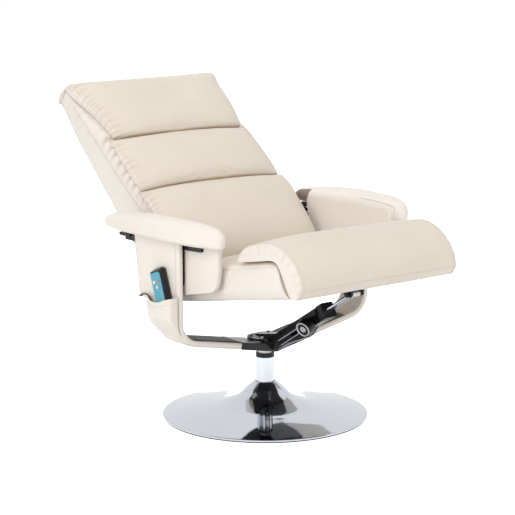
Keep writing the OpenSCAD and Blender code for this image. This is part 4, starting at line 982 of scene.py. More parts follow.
def face_frame(obj, along):
    """The outward face of a flat part: its place, and unit vectors outwards, along and across."""
    normals = np.zeros(len(obj.data.polygons) * 3)
    obj.data.polygons.foreach_get("normal", normals)
    normals = normals.reshape(-1, 3)
    areas = np.array([p.area for p in obj.data.polygons])
    facing = normals[:, 0] < -0.5
    out = (normals[facing] * areas[facing, None]).sum(0)
    best = normals[facing][np.argmax(normals[facing] @ (out / np.linalg.norm(out)))]
    along = along - best * (along @ best)
    along /= np.linalg.norm(along)
    return best, along, np.cross(best, along)


def turned_piece(name, profile, centre, axis, material, steps=56, first=None):
    """A turned piece about an axis, from (radius, height) pairs."""
    if first is None:
        first = np.cross(axis, [0.1, 0.2, 0.97])
        first /= np.linalg.norm(first)
    second = np.cross(axis, first)
    verts = [centre + r * (first * math.cos(g) + second * math.sin(g)) + axis * h
             for g in np.linspace(0, 2 * math.pi, steps, endpoint=False) for r, h in profile]
    faces = ring_faces(steps, len(profile), closed=True)
    return recalculate(new_piece(name, np.array(verts), faces, [material]))


LEVER_WAY = np.array([0, -0.852640, 0.522499])


class RECLINER_OT_lever(bpy.types.Operator):
    """The bright edges of the lever's rail and the rings on the locking knob"""
    bl_idname = "recliner.lever"
    bl_label = "Lever trim"

    def execute(self, context):
        rail = frame["nodes"]["clamp_rail"]
        out, along, across = face_frame(rail, LEVER_WAY)
        co = coords(rail)
        top = (co @ out).max() - 0.0006
        low, high = (co @ across).min(), (co @ across).max()
        start, end = (co @ along).min() + 0.003, (co @ along).max() - 0.003
        lines = []
        for side in (low + 0.0012, high - 0.0012):
            lines.append([out * top + across * side + along * t for t in np.linspace(start, end, 12)])
        settle(tubes_piece("rail_edges", lines, 0.0011, paint("chrome"), 8), "swivel")

        ring = frame["nodes"]["knob_ring"]
        out, along, across = face_frame(ring, LEVER_WAY)
        co = coords(ring)
        face = (co @ out).max()
        middle = [((co @ a).min() + (co @ a).max()) / 2 for a in (along, across)]
        centre = out * face + along * middle[0] + across * middle[1]
        radius = ((co @ along).max() - (co @ along).min()) / 2
        rim = [(radius, -0.001), (radius, 0.0001), (radius - 0.001, 0.0009), (radius - 0.0034, 0.0009),
               (radius - 0.0046, 0.0001), (radius - 0.0048, -0.0016)]
        settle(turned_piece("knob_bezel", rim, centre, out, paint("bare")), "knob")
        badge = [(0.0002, -0.0022), (0.0002, 0.0004), (0.0078, 0.0003), (0.0088, -0.0004), (0.0090, -0.0022)]
        settle(turned_piece("knob_badge", badge, centre, out, paint("bare")), "knob")
        return {"FINISHED"}


BASE_STEPS = 160
BASE_PROFILE = [(280, 8), (250, 13.4), (209.4, 20.6), (154, 29.8), (118.6, 37.6), (78.3, 54),
                (50.6, 79.2), (35.5, 91.7), (27.9, 97)]


class RECLINER_OT_base(bpy.types.Operator):
    """The chromed trumpet base, turned from one sheet with a rolled rim"""
    bl_idname = "recliner.base"
    bl_label = "Trumpet base"

    def execute(self, context):
        radius = smooth_line(BASE_PROFILE, 72)
        inner = radius[::-1] - np.stack([np.linspace(2.5, 0.6, 72), np.linspace(0.6, 2.5, 72)], -1)
        rim = [(280.0, 3.6), (280.6, 4.6), (281.0, 6.0), (280.8, 7.2)]
        lip = [(277.6, 3.1), (278.6, 3.0), (279.5, 3.1)]
        profile = np.array(lip + rim + [tuple(p) for p in radius] + [tuple(p) for p in inner]) * MM
        up, ahead = np.array([0.0, 0.0, 1.0]), np.array([1.0, 0.0, 0.0])
        obj = turned_piece("trumpet_base", profile, np.zeros(3), up, paint("chrome"), BASE_STEPS, ahead)
        settle(obj, "base", ["base_shell"])
        return {"FINISHED"}


BAND_MID, BAND_DIP, HUB_Z = 322.6, math.radians(11.0), 197.19
BAND_CORNER, BAND_X, BAND_Z = 62.0, 260.6, 311.0
BAND_TOP = 533.0
BAND_THICK, BAND_SEAM_IN, BAND_SEAM_OUT = 9.9, 9.0, 10.9
# painted shade on the bands' inner top faces: black up to the first end, brown up to the second
SHADE_LINER_END, SHADE_LINING_END = {"right": 900.0, "left": 176.0}, 246.0
BAND_REAR_Z = [262, 270, 283, 297, 311, 325, 340, 350, 355, 358.5, 362, 371, 380, 533]
BAND_REAR_Y = [46, 47.6, 56.5, 68, 75.5, 80.5, 83.8, 86.5, 90, 108, 116, 126, 128, 148]


def band_path():
    """The band's centre line from the hub to its top: points (x, z) and outward normals, with the
    distance along it."""
    start = 118.5
    foot = (BAND_X + BAND_CORNER * math.sin(BAND_DIP), BAND_Z - BAND_CORNER * math.cos(BAND_DIP))
    line = []
    for x in np.arange(start, foot[0], 4.0):
        line.append((x, HUB_Z + x * math.tan(BAND_DIP), math.sin(BAND_DIP), -math.cos(BAND_DIP)))
    for g in np.linspace(-math.pi / 2 + BAND_DIP, 0, 32):
        cos, sin = math.cos(g), math.sin(g)
        line.append((BAND_X + BAND_CORNER * cos, BAND_Z + BAND_CORNER * sin, cos, sin))
    heights = np.concatenate([np.arange(314, 350, 4), np.arange(350, 378, 1.6),
                              np.arange(380, BAND_TOP, 5), [BAND_TOP]])
    for z in heights:
        line.append((BAND_MID, z, 1.0, 0.0))
    line = np.array(line)
    run = np.concatenate([[0], np.cumsum(np.hypot(np.diff(line[:, 0]), np.diff(line[:, 1])))])
    return line, run


class RECLINER_OT_bands(bpy.types.Operator):
    """Leather over the steel band, gathered at its corners, with painted shade on its inner top face: black
    all along the right band and near the hub on the left, brown a little further on.
    """
    bl_idname = "recliner.bands"
    bl_label = "Band covers"

    def execute(self, context):
        for side, name in ((-1, "right"), (1, "left")):
            line, run = band_path()
            x, z, nx, nz = line.T
            rear = np.where(nz < -0.2, 46.0, np.interp(z, BAND_REAR_Z, BAND_REAR_Y))
            front = np.full(len(x), -52.0)
            section = 44
            corner = fade(np.abs(run - 190), 30, 105)
            g = np.linspace(0, 2 * math.pi, section, endpoint=False)
            across_ring, through_ring = bent(np.cos(g), 0.30), bent(np.sin(g), 0.42)
            y = ((rear + front) / 2)[:, None] + across_ring * ((rear - front) / 2)[:, None]
            d = np.broadcast_to(through_ring * BAND_THICK, y.shape)
            inner = np.clip(-np.sin(g), 0, 1) ** 0.5
            outer = np.clip(np.sin(g), 0, 1) ** 0.5
            across = np.clip(1 - np.abs(across_ring) ** 4, 0, 1)
            slant = np.array([folds(run + 0.25 * y[:, j], 11 + side, 12.0) for j in range(section)]).T
            d = d - np.sign(d) * (inner * 4.6 * (1 - slant) * corner[:, None]
                                  + outer * 0.8 * (1 - slant) * corner[:, None] * 0.6)
            d = d + np.sign(d) * across * (0.9 + 0.5 * wave(run, 4 + side, 60)[:, None])
            verts = plain_point(side * (x[:, None] + nx[:, None] * d), y, z[:, None] + nz[:, None] * d)
            n = len(x)
            faces = ring_faces(n, section)
            # painted shade: black on the inner top face up to this distance, then brown
            shaded_to = SHADE_LINER_END[name]
            on_top = np.sin(g) < -0.5
            on_top &= np.roll(on_top, -1)
            shade_marks = [(1 if x[i] < shaded_to else 2 if x[i] < SHADE_LINING_END else 0) if on_top[j] else 0
                     for i in range(n - 1) for j in range(section)]
            faces.append(tuple(range(section)))
            faces.append(tuple((n - 1) * section + j for j in range(section - 1, -1, -1)))
            shade_marks += [0, 0]
            obj = new_piece(name + "_band_leather", verts.reshape(-1, 3), faces,
                            [paint("side"), paint("liner"), paint("lining")])
            obj.data.polygons.foreach_set("material_index", shade_marks)
            # painted shade in the corner gathers and on the inner face, darker towards the hub
            layer = obj.data.attributes.new("crease", "FLOAT", "POINT")
            shaded = inner * (1 - slant) * corner[:, None] * 0.7 + inner * fade(x, 190, 330)[:, None] * 0.9
            layer.data.foreach_set("value", np.clip(shaded, 0, 1).ravel().astype(np.float32))
            recalculate(obj)
            smooth_piece(obj)
            settle(obj, "swivel", [name + "_band_cover"])
            # a seam just behind the front edge of the outer face, and one along the rear edge
            for across_line in (front + BAND_SEAM_IN, rear - BAND_SEAM_IN):
                track = [side * (x + nx * BAND_SEAM_OUT), across_line, z + nz * BAND_SEAM_OUT]
                seam("swivel", np.stack(track, -1)[::2] * MM)
        return {"FINISHED"}


PAD_Y = [0, 0.011, 0.038, 0.071, 0.17, 0.287, 0.426, 0.574, 0.72, 0.843, 0.924, 0.978, 1]
PAD_TOP = [0.4, 0.6, 0.76, 0.86, 0.97, 1, 1, 0.97, 0.91, 0.81, 0.72, 0.64, 0.5]
PAD_LOW = [0.06, -0.05, -0.08, -0.08, -0.09, -0.09, -0.08, -0.07, -0.06, -0.04, 0, 0.04, 0.12]
PAD_WIDE = [0.32, 0.4, 0.52, 0.63, 0.84, 0.95, 1, 1.02, 1.02, 1, 0.93, 0.82, 0.6]
PAD_IN = [0.2, 0.13, 0.07, 0.03, 0, 0, 0, 0, 0, 0, 0, 0.02, 0.1]
PAD_LOW_Z, PAD_THICK, PAD_LEN, PAD_FRONT, PAD_IN_X = 533.29, 56.0, 446.0, -216.0, 288.0
# where the brown painted shade begins on the pads' inner rear, behind the back
PAD_SEAM_ENDS, PAD_SHADE_Y, PAD_SHADE_X = (-195.0, -50.0), 160.0, 306.0


class RECLINER_OT_arm_pads(bpy.types.Operator):
    """The padded armrests, with a gathered seam round the front"""
    bl_idname = "recliner.arm_pads"
    bl_label = "Arm pads"

    def execute(self, context):
        s = 0.5 - 0.5 * np.cos(np.linspace(0, math.pi, 92))
        g = np.linspace(math.pi, 0, 44)
        soft_c = bent(np.cos(g), 0.8)
        soft_s = np.abs(np.sin(g)) ** 0.78
        inn = PAD_IN_X + 100 * smooth_table(PAD_Y, PAD_IN, s)
        out = PAD_IN_X + 100 * smooth_table(PAD_Y, PAD_WIDE, s)
        low = PAD_LOW_Z + PAD_THICK * smooth_table(PAD_Y, PAD_LOW, s)
        top = PAD_LOW_Z + PAD_THICK * smooth_table(PAD_Y, PAD_TOP, s)
        mid, half = (inn + out) / 2, (out - inn) / 2
        belly = low + (top - low) * 0.42
        y = PAD_FRONT + PAD_LEN * s
        first, last = (int(np.argmin(np.abs(y - end))) for end in PAD_SEAM_ENDS)
        for side, name in ((-1, "right"), (1, "left")):
            upper = plain_point(side * (mid[:, None] + half[:, None] * soft_c), y[:, None],
                                belly[:, None] + (top - belly)[:, None] * soft_s)
            lower = plain_point(side * (mid[:, None] + 0.985 * half[:, None] * soft_c), y[:, None],
                                belly[:, None] - (belly - low)[:, None] * soft_s)
            obj = boxed_form(name + "_arm_cushion", upper, lower, 1, [paint("side")])[0]
            smooth_piece(obj)
            keys = [upper[i, 9] for i in range(last, first, -3)]
            keys += [upper[first, j] for j in (8, 5, 2, 0)] + [lower[first, j] for j in (2, 5)]
            rail = smooth_line(keys, 170)
            outer = np.clip((np.abs(coords(obj)[:, 0]) / MM - 300) / 14, 0, 1)
            # painted shade in the creases of the gathers round the front
            gather(obj, rail[:120], reach=26, depth=0.0019, pitch=12.0, seed=21 + side, mask=outer,
                   shade=0.45)
            soft_waves(obj, 0.11, 0.0012, side * 3.3)
            # painted shade: brown leather on the pads' inner rear, where the back shades them
            obj.data.materials.append(paint("lining"))
            for polygon in obj.data.polygons:
                if polygon.center.y > PAD_SHADE_Y * MM and abs(polygon.center.x) < PAD_SHADE_X * MM:
                    polygon.material_index = 1
            settle(obj, "swivel", [name + "_arm_pad"])
            seam("swivel", rail)
            piping(name + "_arm_piping", [rail], "swivel")
        return {"FINISHED"}


def rounded_outline(corners, steps=9):
    """An outline through corners (a, b, radius), each rounded by its radius."""
    out = []
    n = len(corners)
    for i in range(n):
        a, b, c = (np.array(corners[(i + k) % n][:2], float) for k in (-1, 0, 1))
        r = corners[i][2]
        if r <= 0:
            out.append(b)
            continue
        u, w = (a - b) / np.linalg.norm(a - b), (c - b) / np.linalg.norm(c - b)
        half = math.acos(np.clip(u @ w, -1, 1)) / 2
        reach = r / math.tan(half)
        p, q = b + u * reach, b + w * reach
        for t in np.linspace(0, 1, steps):
            out.append(p * (1 - t) ** 2 + 2 * b * t * (1 - t) + q * t * t)
    return np.array(out)


def even_loop(points, count):
    """The closed outline with its points evenly spaced."""
    p = np.vstack([points, points[:1]])
    run = np.concatenate([[0], np.cumsum(np.linalg.norm(np.diff(p, axis=0), axis=1))])
    at = np.linspace(0, run[-1], count, endpoint=False)
    return np.stack([np.interp(at, run, p[:, k]) for k in range(p.shape[1])], -1)


PANEL_CORNERS = [(-181, 563, 16), (-183, 471, 30), (-172, 411, 44), (104, 353, 40), (158, 499, 30),
                 (166, 556, 14)]
PANEL_SHARES = [1.0, 0.998, 0.985, 0.965, 0.94, 0.915, 0.90, 0.885, 0.8, 0.65, 0.48, 0.3, 0.14]
PANEL_INNER_X = [295.5, 291.0, 288.2, 287.2, 287.4, 288.4, 288.7, 288.4, 287.4, 286.6, 286.2, 286.0, 286.0]
PANEL_REAR = [(1.0, 300.0), (0.995, 303.4), (0.97, 304.0), (0.5, 304.0), (0.14, 304.0)]
PANEL_FLAT_X, PANEL_SEAM_X, PANEL_SEAM_TOP, PANEL_SEAM_SHARE = 286.2, 288.4, 505.0, 0.90


class RECLINER_OT_arm_panels(bpy.types.Operator):
    """The upholstered panels inside the arms, with a rolled border"""
    bl_idname = "recliner.arm_panels"
    bl_label = "Arm panels"

    def execute(self, context):
        loop = even_loop(rounded_outline(PANEL_CORNERS), 220)
        centre = np.array([-15.0, 460.0])
        for side, name in ((-1, "right"), (1, "left")):
            rings = []
            for s, ex in zip(PANEL_SHARES[::-1], PANEL_INNER_X[::-1]):
                p = centre + (loop - centre) * s
                flat = PANEL_FLAT_X + (ex - PANEL_FLAT_X) * fade(p[:, 1], 490, 530)
                rings.append(np.stack([side * flat, p[:, 0], p[:, 1]], -1))
            for s, ex in PANEL_REAR:
                p = centre + (loop - centre) * s
                rings.append(np.stack([np.full(len(p), side * ex), p[:, 0], p[:, 1]], -1))
            n = len(loop)
            faces = ring_faces(len(rings), n)
            verts = list(np.concatenate(rings))
            for r, ex in ((0, PANEL_INNER_X[-1]), (len(rings) - 1, PANEL_REAR[-1][1])):
                verts.append(np.array([side * ex, centre[0], centre[1]]))
                for j in range(n):
                    faces.append((r * n + j, r * n + (j + 1) % n, len(verts) - 1))
            obj = recalculate(new_piece(name + "_arm_lining", np.array(verts) * MM, faces, [paint("side")]))
            soft_waves(obj, 0.09, 0.0008, 5.1 + side)
            settle(obj, "swivel", [name + "_arm_panel"])
            track = centre + (loop - centre) * PANEL_SEAM_SHARE
            open_part = [i for i in range(n) if track[i, 1] < PANEL_SEAM_TOP]
            first = next(i for i in open_part if (i - 1) % n not in open_part)
            order = [(first + k) % n for k in range(len(open_part))]
            rail = np.stack([np.full(len(order), side * PANEL_SEAM_X), track[order, 0], track[order, 1]],
                            -1) * MM
            seam("swivel", rail[::2])
        return {"FINISHED"}


POCKET_PLAN = [(333.4, -52.8), (345, -52.9), (355, -52.2), (361.6, -48), (363.4, -40), (363.6, -20),
               (363.6, 0), (363.2, 18), (361, 32), (355.5, 45), (348.5, 60), (341.5, 72), (337.4, 79)]
POCKET_RIM_Y, POCKET_RIM_Z = [-53, -30, -8, 10, 30, 55, 80], [380, 373, 364.5, 361.5, 361.5, 363.5, 366.0]
POCKET_FLOOR, POCKET_FULL, BAND_OUTER = 277.0, 332.0, 72.0


class RECLINER_OT_pocket(bpy.types.Operator):
    """The handset's leather pocket with its hem"""
    bl_idname = "recliner.pocket"
    bl_label = "Handset pocket"

    def execute(self, context):
        plan = smooth_line(POCKET_PLAN, 90)
        rows = 34
        levels = np.linspace(0, 1, rows)
        floor_z = POCKET_FLOOR
        rim = np.interp(plan[:, 1], POCKET_RIM_Y, POCKET_RIM_Z)
        grid = np.zeros((rows, len(plan), 3))
        ridge = folds(plan[:, 1], 33, 22.0)
        for r, h in enumerate(levels):
            z = floor_z + (rim - floor_z) * h
            band = BAND_X + np.sqrt(BAND_OUTER ** 2 - np.clip(BAND_Z - z, 0, BAND_OUTER - 1) ** 2)
            out = band + 0.8 + (plan[:, 0] - BAND_X - BAND_OUTER) * (1 - fade(z, POCKET_FLOOR, POCKET_FULL))
            bulge = 1.2 * math.sin(math.pi * min(1, h * 1.1)) - 1.2 * (1 - ridge) * (1 - h) ** 0.7
            rear = np.interp(z, BAND_REAR_Z, BAND_REAR_Y) + 1.5 - 9.5 * fade(z, 318, 352)
            across = np.minimum(plan[:, 1], rear)
            grid[r] = np.stack([-(out + bulge * np.clip((plan[:, 0] - 336) / 20, 0, 1)), across, z], -1)
        inner = grid.copy()
        inner[:, :, 0] += 2.0 * np.clip((plan[None, :, 0] - 333) / 6, 0.2, 1)
        inner[:, :, 1] += np.interp(plan[None, :, 1], [-53, -40, 60, 80], [2.2, 0.6, -1.2, -2.2])
        obj = boxed_form("pocket_leather", grid * MM, inner * MM, 1, [paint("side")])[0]
        settle(obj, "swivel", ["handset_pocket"])
        # the floor of the pocket and its hem
        low = grid[0]
        floor_top = np.concatenate([low, np.array([[-321.0, 79.0, floor_z], [-321.0, -52.0, floor_z]])])
        count = len(floor_top)
        verts = np.concatenate([floor_top + [0, 0, 1.2], floor_top - [0, 0, 0.9]]) * MM
        faces = [tuple(range(count)), tuple(range(2 * count - 1, count - 1, -1))]
        faces += [(i, (i + 1) % count, count + (i + 1) % count, count + i) for i in range(count)]
        sole = recalculate(new_piece("pocket_floor", verts, faces, [paint("side")], False))
        settle(sole, "swivel")
        hem = grid[-1] + np.array([1.2, 0, 0.2])
        settle(tubes_piece("pocket_hem", [hem * MM], 0.0022, paint("side"), 8), "swivel")
        under = grid[-5] + np.array([-0.8, 0, 0])
        seam("swivel", under[2:-2] * MM)
        return {"FINISHED"}


HANDSET_LEAN = math.radians(19.0)
HANDSET_FOOT = np.array([-346.9, -23.0, 327.0])
FACE_CORNERS = [(-21, 8.5, 6), (21, 8.5, 6), (20.5, 120.5, 8), (-20.5, 120.5, 8)]
FACE_DEPTHS = [(0.0, 11.6), (0.5, 11.6), (0.9, 11.58), (0.975, 11.5), (1.0, 11.2), (1.0, 9.6)]
DOT_SIDES, DOT_PITCH, DOT_RADIUS = 10, 6.4, 1.0


class RECLINER_OT_handset(bpy.types.Operator):
    """The handset: a bevelled black case, a blue-green face with its dots"""
    bl_idname = "recliner.handset"
    bl_label = "Handset"

    def execute(self, context):
        def place(points):
            p = np.asarray(points, float)
            y, z = turned(-HANDSET_LEAN, p[..., 1], p[..., 2])
            return (np.stack([p[..., 0], y, z], -1) + HANDSET_FOOT) * MM

        stations = 40
        s = np.linspace(0, 1, stations)
        length, wide, thick = 132.0, 50.0, 23.0
        ring = 48
        g = np.linspace(0, 2 * math.pi, ring, endpoint=False)
        cx = bent(np.cos(g), 0.42)
        cy = bent(np.sin(g), 0.36)
        rows = []
        for t in s:
            h = t * length
            end = min(h, length - h)
            pull = 6.5 * (1 - math.sqrt(max(0.0, 1 - (1 - min(1, end / 6.5)) ** 2)))
            top_slope = 6.0 * max(0.0, (h - 118) / 14)
            x = cx * (thick / 2 - 0.35 - pull * 0.9)
            x = x + np.where(cx > 0, 1.3 * math.sin(math.pi * t), 0)
            y = cy * (wide / 2 - pull * 0.8 - 0.7 * (1 - math.sin(math.pi * t)))
            rows.append(np.stack([x, y, h - top_slope * (0.5 - 0.5 * cx)], -1))
        rows = np.array(rows)
        verts = place(rows).reshape(-1, 3)
        faces = ring_faces(stations, ring)
        faces += [tuple(range(ring - 1, -1, -1)), tuple((stations - 1) * ring + j for j in range(ring))]
        case = recalculate(new_piece("handset_shell", verts, faces, [paint("gloss")]))
        settle(case, "handset", ["handset_case"])
        # the face plate, rounded at its corners and slightly crowned
        outline = even_loop(rounded_outline(FACE_CORNERS, 8), 96)
        middle = np.array([0, 63.5])
        rings = []
        for share, depth in FACE_DEPTHS:
            p = middle + (outline - middle) * share
            rings.append(np.stack([np.full(len(p), -depth), p[:, 0], p[:, 1]], -1))
        n = len(outline)
        verts = place(np.concatenate(rings))
        faces = ring_faces(len(rings), n)
        faces.append(tuple((len(rings) - 1) * n + j for j in range(n)))
        face = recalculate(new_piece("handset_cover", verts, faces, [paint("face")]))
        settle(face, "handset", ["handset_face"])
        # rows of small dark dots over the speaker
        verts, faces = [], []
        one_dot = ring_faces(2, DOT_SIDES)
        one_dot += [tuple(range(DOT_SIDES)), tuple(2 * DOT_SIDES - 1 - k for k in range(DOT_SIDES))]
        for i in range(6):
            for j in range(4 - i % 2):
                dot_y, dot_z = 15.0 - DOT_PITCH * (j + (i % 2) / 2), 36.0 + DOT_PITCH * i
                faces += [tuple(len(verts) + k for k in corner) for corner in one_dot]
                verts += [(-depth, dot_y + DOT_RADIUS * math.cos(a), dot_z + DOT_RADIUS * math.sin(a))
                          for depth in (11.5, 11.8)
                          for a in np.linspace(0, 2 * math.pi, DOT_SIDES, endpoint=False)]
        dots = recalculate(new_piece("handset_dots", place(np.array(verts)), faces, [paint("dots")]))
        settle(dots, "handset")
        return {"FINISHED"}


SEAT_TOP_A = [0.012, 0.012, 0.03, 0.07, 0.16, 0.3, 0.46, 0.6, 0.72, 0.82, 0.88, 0.92, 0.936, 0.952, 0.968]
SEAT_TOP_B = [0.25, 0.5, 0.7, 0.84, 0.95, 1, 1, 1, 1, 1, 0.97, 0.86, 0.5, 0.22, 0.04]
SEAT_CROWN_S = [0, 0.1, 0.25, 0.5, 0.9, 1, 0.8, 0.3, 0, 0, 0, 0, 0, 0, 0]
ROLL_A = [0.6, 0.628, 0.68, 0.75, 0.82, 0.885, 0.945, 0.995, 1.035, 1.07, 1.092, 1.1, 1.092, 1.065, 1.035]
ROLL_B = [1.06, 1.3, 1.44, 1.5, 1.52, 1.5, 1.4, 1.24, 1.06, 0.84, 0.6, 0.36, 0.16, 0.02, -0.03]
ROLL_LOW_A = [0.602, 0.64, 0.69, 0.74, 0.79, 0.835, 0.875, 0.905, 0.928, 0.945, 0.96, 0.973, 0.984,
              0.996, 1.012]
ROLL_LOW_B = [1.03, 1.016, 1.008, 1.004, 1.004, 1.004, 1.0, 0.96, 0.87, 0.7, 0.5, 0.32, 0.18, 0.06, -0.02]


class RECLINER_OT_seat(bpy.types.Operator):
    """The seat pad with its flat sides and rounded top edges"""
    bl_idname = "recliner.seat"
    bl_label = "Seat pad"

    def execute(self, context):
        sizes = context.scene.recliner_sizes
        m = 96
        chain = smooth_line(np.stack([np.array(SEAT_TOP_A) * SEAT_DEPTH, np.array(SEAT_TOP_B) * SEAT_T,
                                      np.array(SEAT_CROWN_S) * 100], -1), m)
        t, f = end_stations(SEAT_HALF, 14, 5, 72)
        k = 0.86 + 0.14 * f
        x = t[:, None] * SEAT_HALF
        up = chain[None, :, 1] * k[:, None] + SEAT_CROWN * (1 - t * t)[:, None] * chain[None, :, 2] / 100
        top = seat_point(x, chain[None, :, 0], np.maximum(up, 3))
        ahead = np.linspace(5.0, 0.968 * SEAT_DEPTH, m)
        low = seat_point(x, ahead[None, :], np.full(up.shape, 0.4))
        obj, upper, _ = boxed_form("seat_cushion", top, low, 10, [paint("seat"), paint("side")])
        sx, forward, height = local_seat(obj)
        free = np.clip(height / 22, 0, 1)
        puff(obj, np.where(height < 3, 0, free * 0.9), sizes.pressure, sizes.cap * 0.55)
        smooth_piece(obj)
        sx, forward, height = local_seat(obj)
        belly = fade(np.abs(height - 45), 10, 48) * fade(SEAT_HALF - np.abs(sx), 2, 10)
        slow = 0.5 + 0.5 * wave(forward, 3, 120)
        press(obj, -0.0026 * belly * slow)
        co = coords(obj)
        turn_under = np.clip((26 - height) / 26, 0, 1) ** 2 * np.clip((np.abs(sx) - 225) / 30, 0, 1)
        co[:, 0] -= np.sign(co[:, 0]) * turn_under * 0.011
        set_coords(obj, co)
        soft_waves(obj, 0.16, 0.0016, 2.2)
        # painted light: the lighter side leather on the faces that look sideways
        lit_sideways_faces(obj, 0.75)
        sx, forward, height = local_seat(obj)
        # painted shade: a dark line on the seat's sides along the roll's lower edge, where the roll shades it
        edge = np.interp(forward, np.array(ROLL_LOW_A) * SEAT_DEPTH, np.array(ROLL_LOW_B) * SEAT_T)
        paint_shade(obj, 0.9 * fade(np.abs(height - edge), 1, 7) * (forward > 0.6 * SEAT_DEPTH) * (np.abs(sx) > 250))
        settle(obj, "seat", ["seat_pad"])
        for i in (0, len(t) - 1):
            seam("seat", lines_at(obj, upper[i, 6:80], 0.0003))
        return {"FINISHED"}


class RECLINER_OT_roll(bpy.types.Operator):
    """The rolled front of the seat, gathered at its ends"""
    bl_idname = "recliner.roll"
    bl_label = "Front roll"

    def execute(self, context):
        sizes = context.scene.recliner_sizes
        m = 84
        joined = smooth_line(np.stack([ROLL_A, ROLL_B, ROLL_LOW_A, ROLL_LOW_B], -1)
                             * np.array([SEAT_DEPTH, SEAT_T, SEAT_DEPTH, SEAT_T]), m)
        lift = np.interp(np.arange(m), [0, m * 0.2], [1, 0])
        t, f = end_stations(SEAT_HALF, 22, 6, 76)
        k = (0.72 + 0.28 * f)[:, None]
        crown = SEAT_CROWN * (1 - t * t)[:, None] * lift[None, :]
        low_a, low_b = joined[None, :, 2], joined[None, :, 3] + crown * 0.4
        top_a, top_b = joined[None, :, 0], joined[None, :, 1] + crown * 0.3
        a = low_a + (top_a - low_a) * k
        b = low_b + (top_b - low_b) * k
        x = np.broadcast_to(t[:, None] * SEAT_HALF, a.shape)
        top = seat_point(x, a, b)
        low = seat_point(x, np.broadcast_to(low_a, a.shape), np.broadcast_to(low_b, a.shape) + 0.4)
        obj, upper, lower = boxed_form("front_roll", top, low, 6, [paint("seat"), paint("side")])
        free = np.ones(len(obj.data.vertices))
        free[lower.ravel()] = 0
        puff(obj, free, sizes.pressure, sizes.cap * 0.6)
        smooth_piece(obj)
        row = int(np.argmax(f > 0.72))
        ends = [(row, -1), (len(t) - 1 - row, 1)]
        for number, hand in ends:
            line = lines_at(obj, upper[number, :], 0)
            across = coords(obj)[:, 0] / MM
            own_side = across * hand > 0
            outside = fade(np.abs(across), SEAT_HALF - 1, SEAT_HALF - 9) * own_side
            inside = fade(SEAT_HALF - np.abs(across), 4, 30) * own_side * (1 - outside)
            # painted shade in the creases of the gathers at the roll's ends
            gather(obj, line, reach=42, depth=0.0034, pitch=31.0, seed=41 + number, mask=outside, shade=0.55)
            gather(obj, line, reach=26, depth=0.0012, pitch=23.0, seed=44 + number, mask=inside, shade=0.25)
        soft_waves(obj, 0.14, 0.0016, 6.4)
        # painted light: the lighter side leather on the faces that look sideways
        lit_sideways_faces(obj, 0.7)
        settle(obj, "seat", ["seat_roll"])
        rails = []
        for i, hand in ends:
            rails.append(lines_at(obj, upper[i, :], 0.0002))
            seam("seat", rails[-1])
        front = lines_at(obj, upper[:, m - 9], 0.0002)
        rails.append(front)
        seam("seat", front)
        piping("roll_piping", rails, "seat")
        return {"FINISHED"}


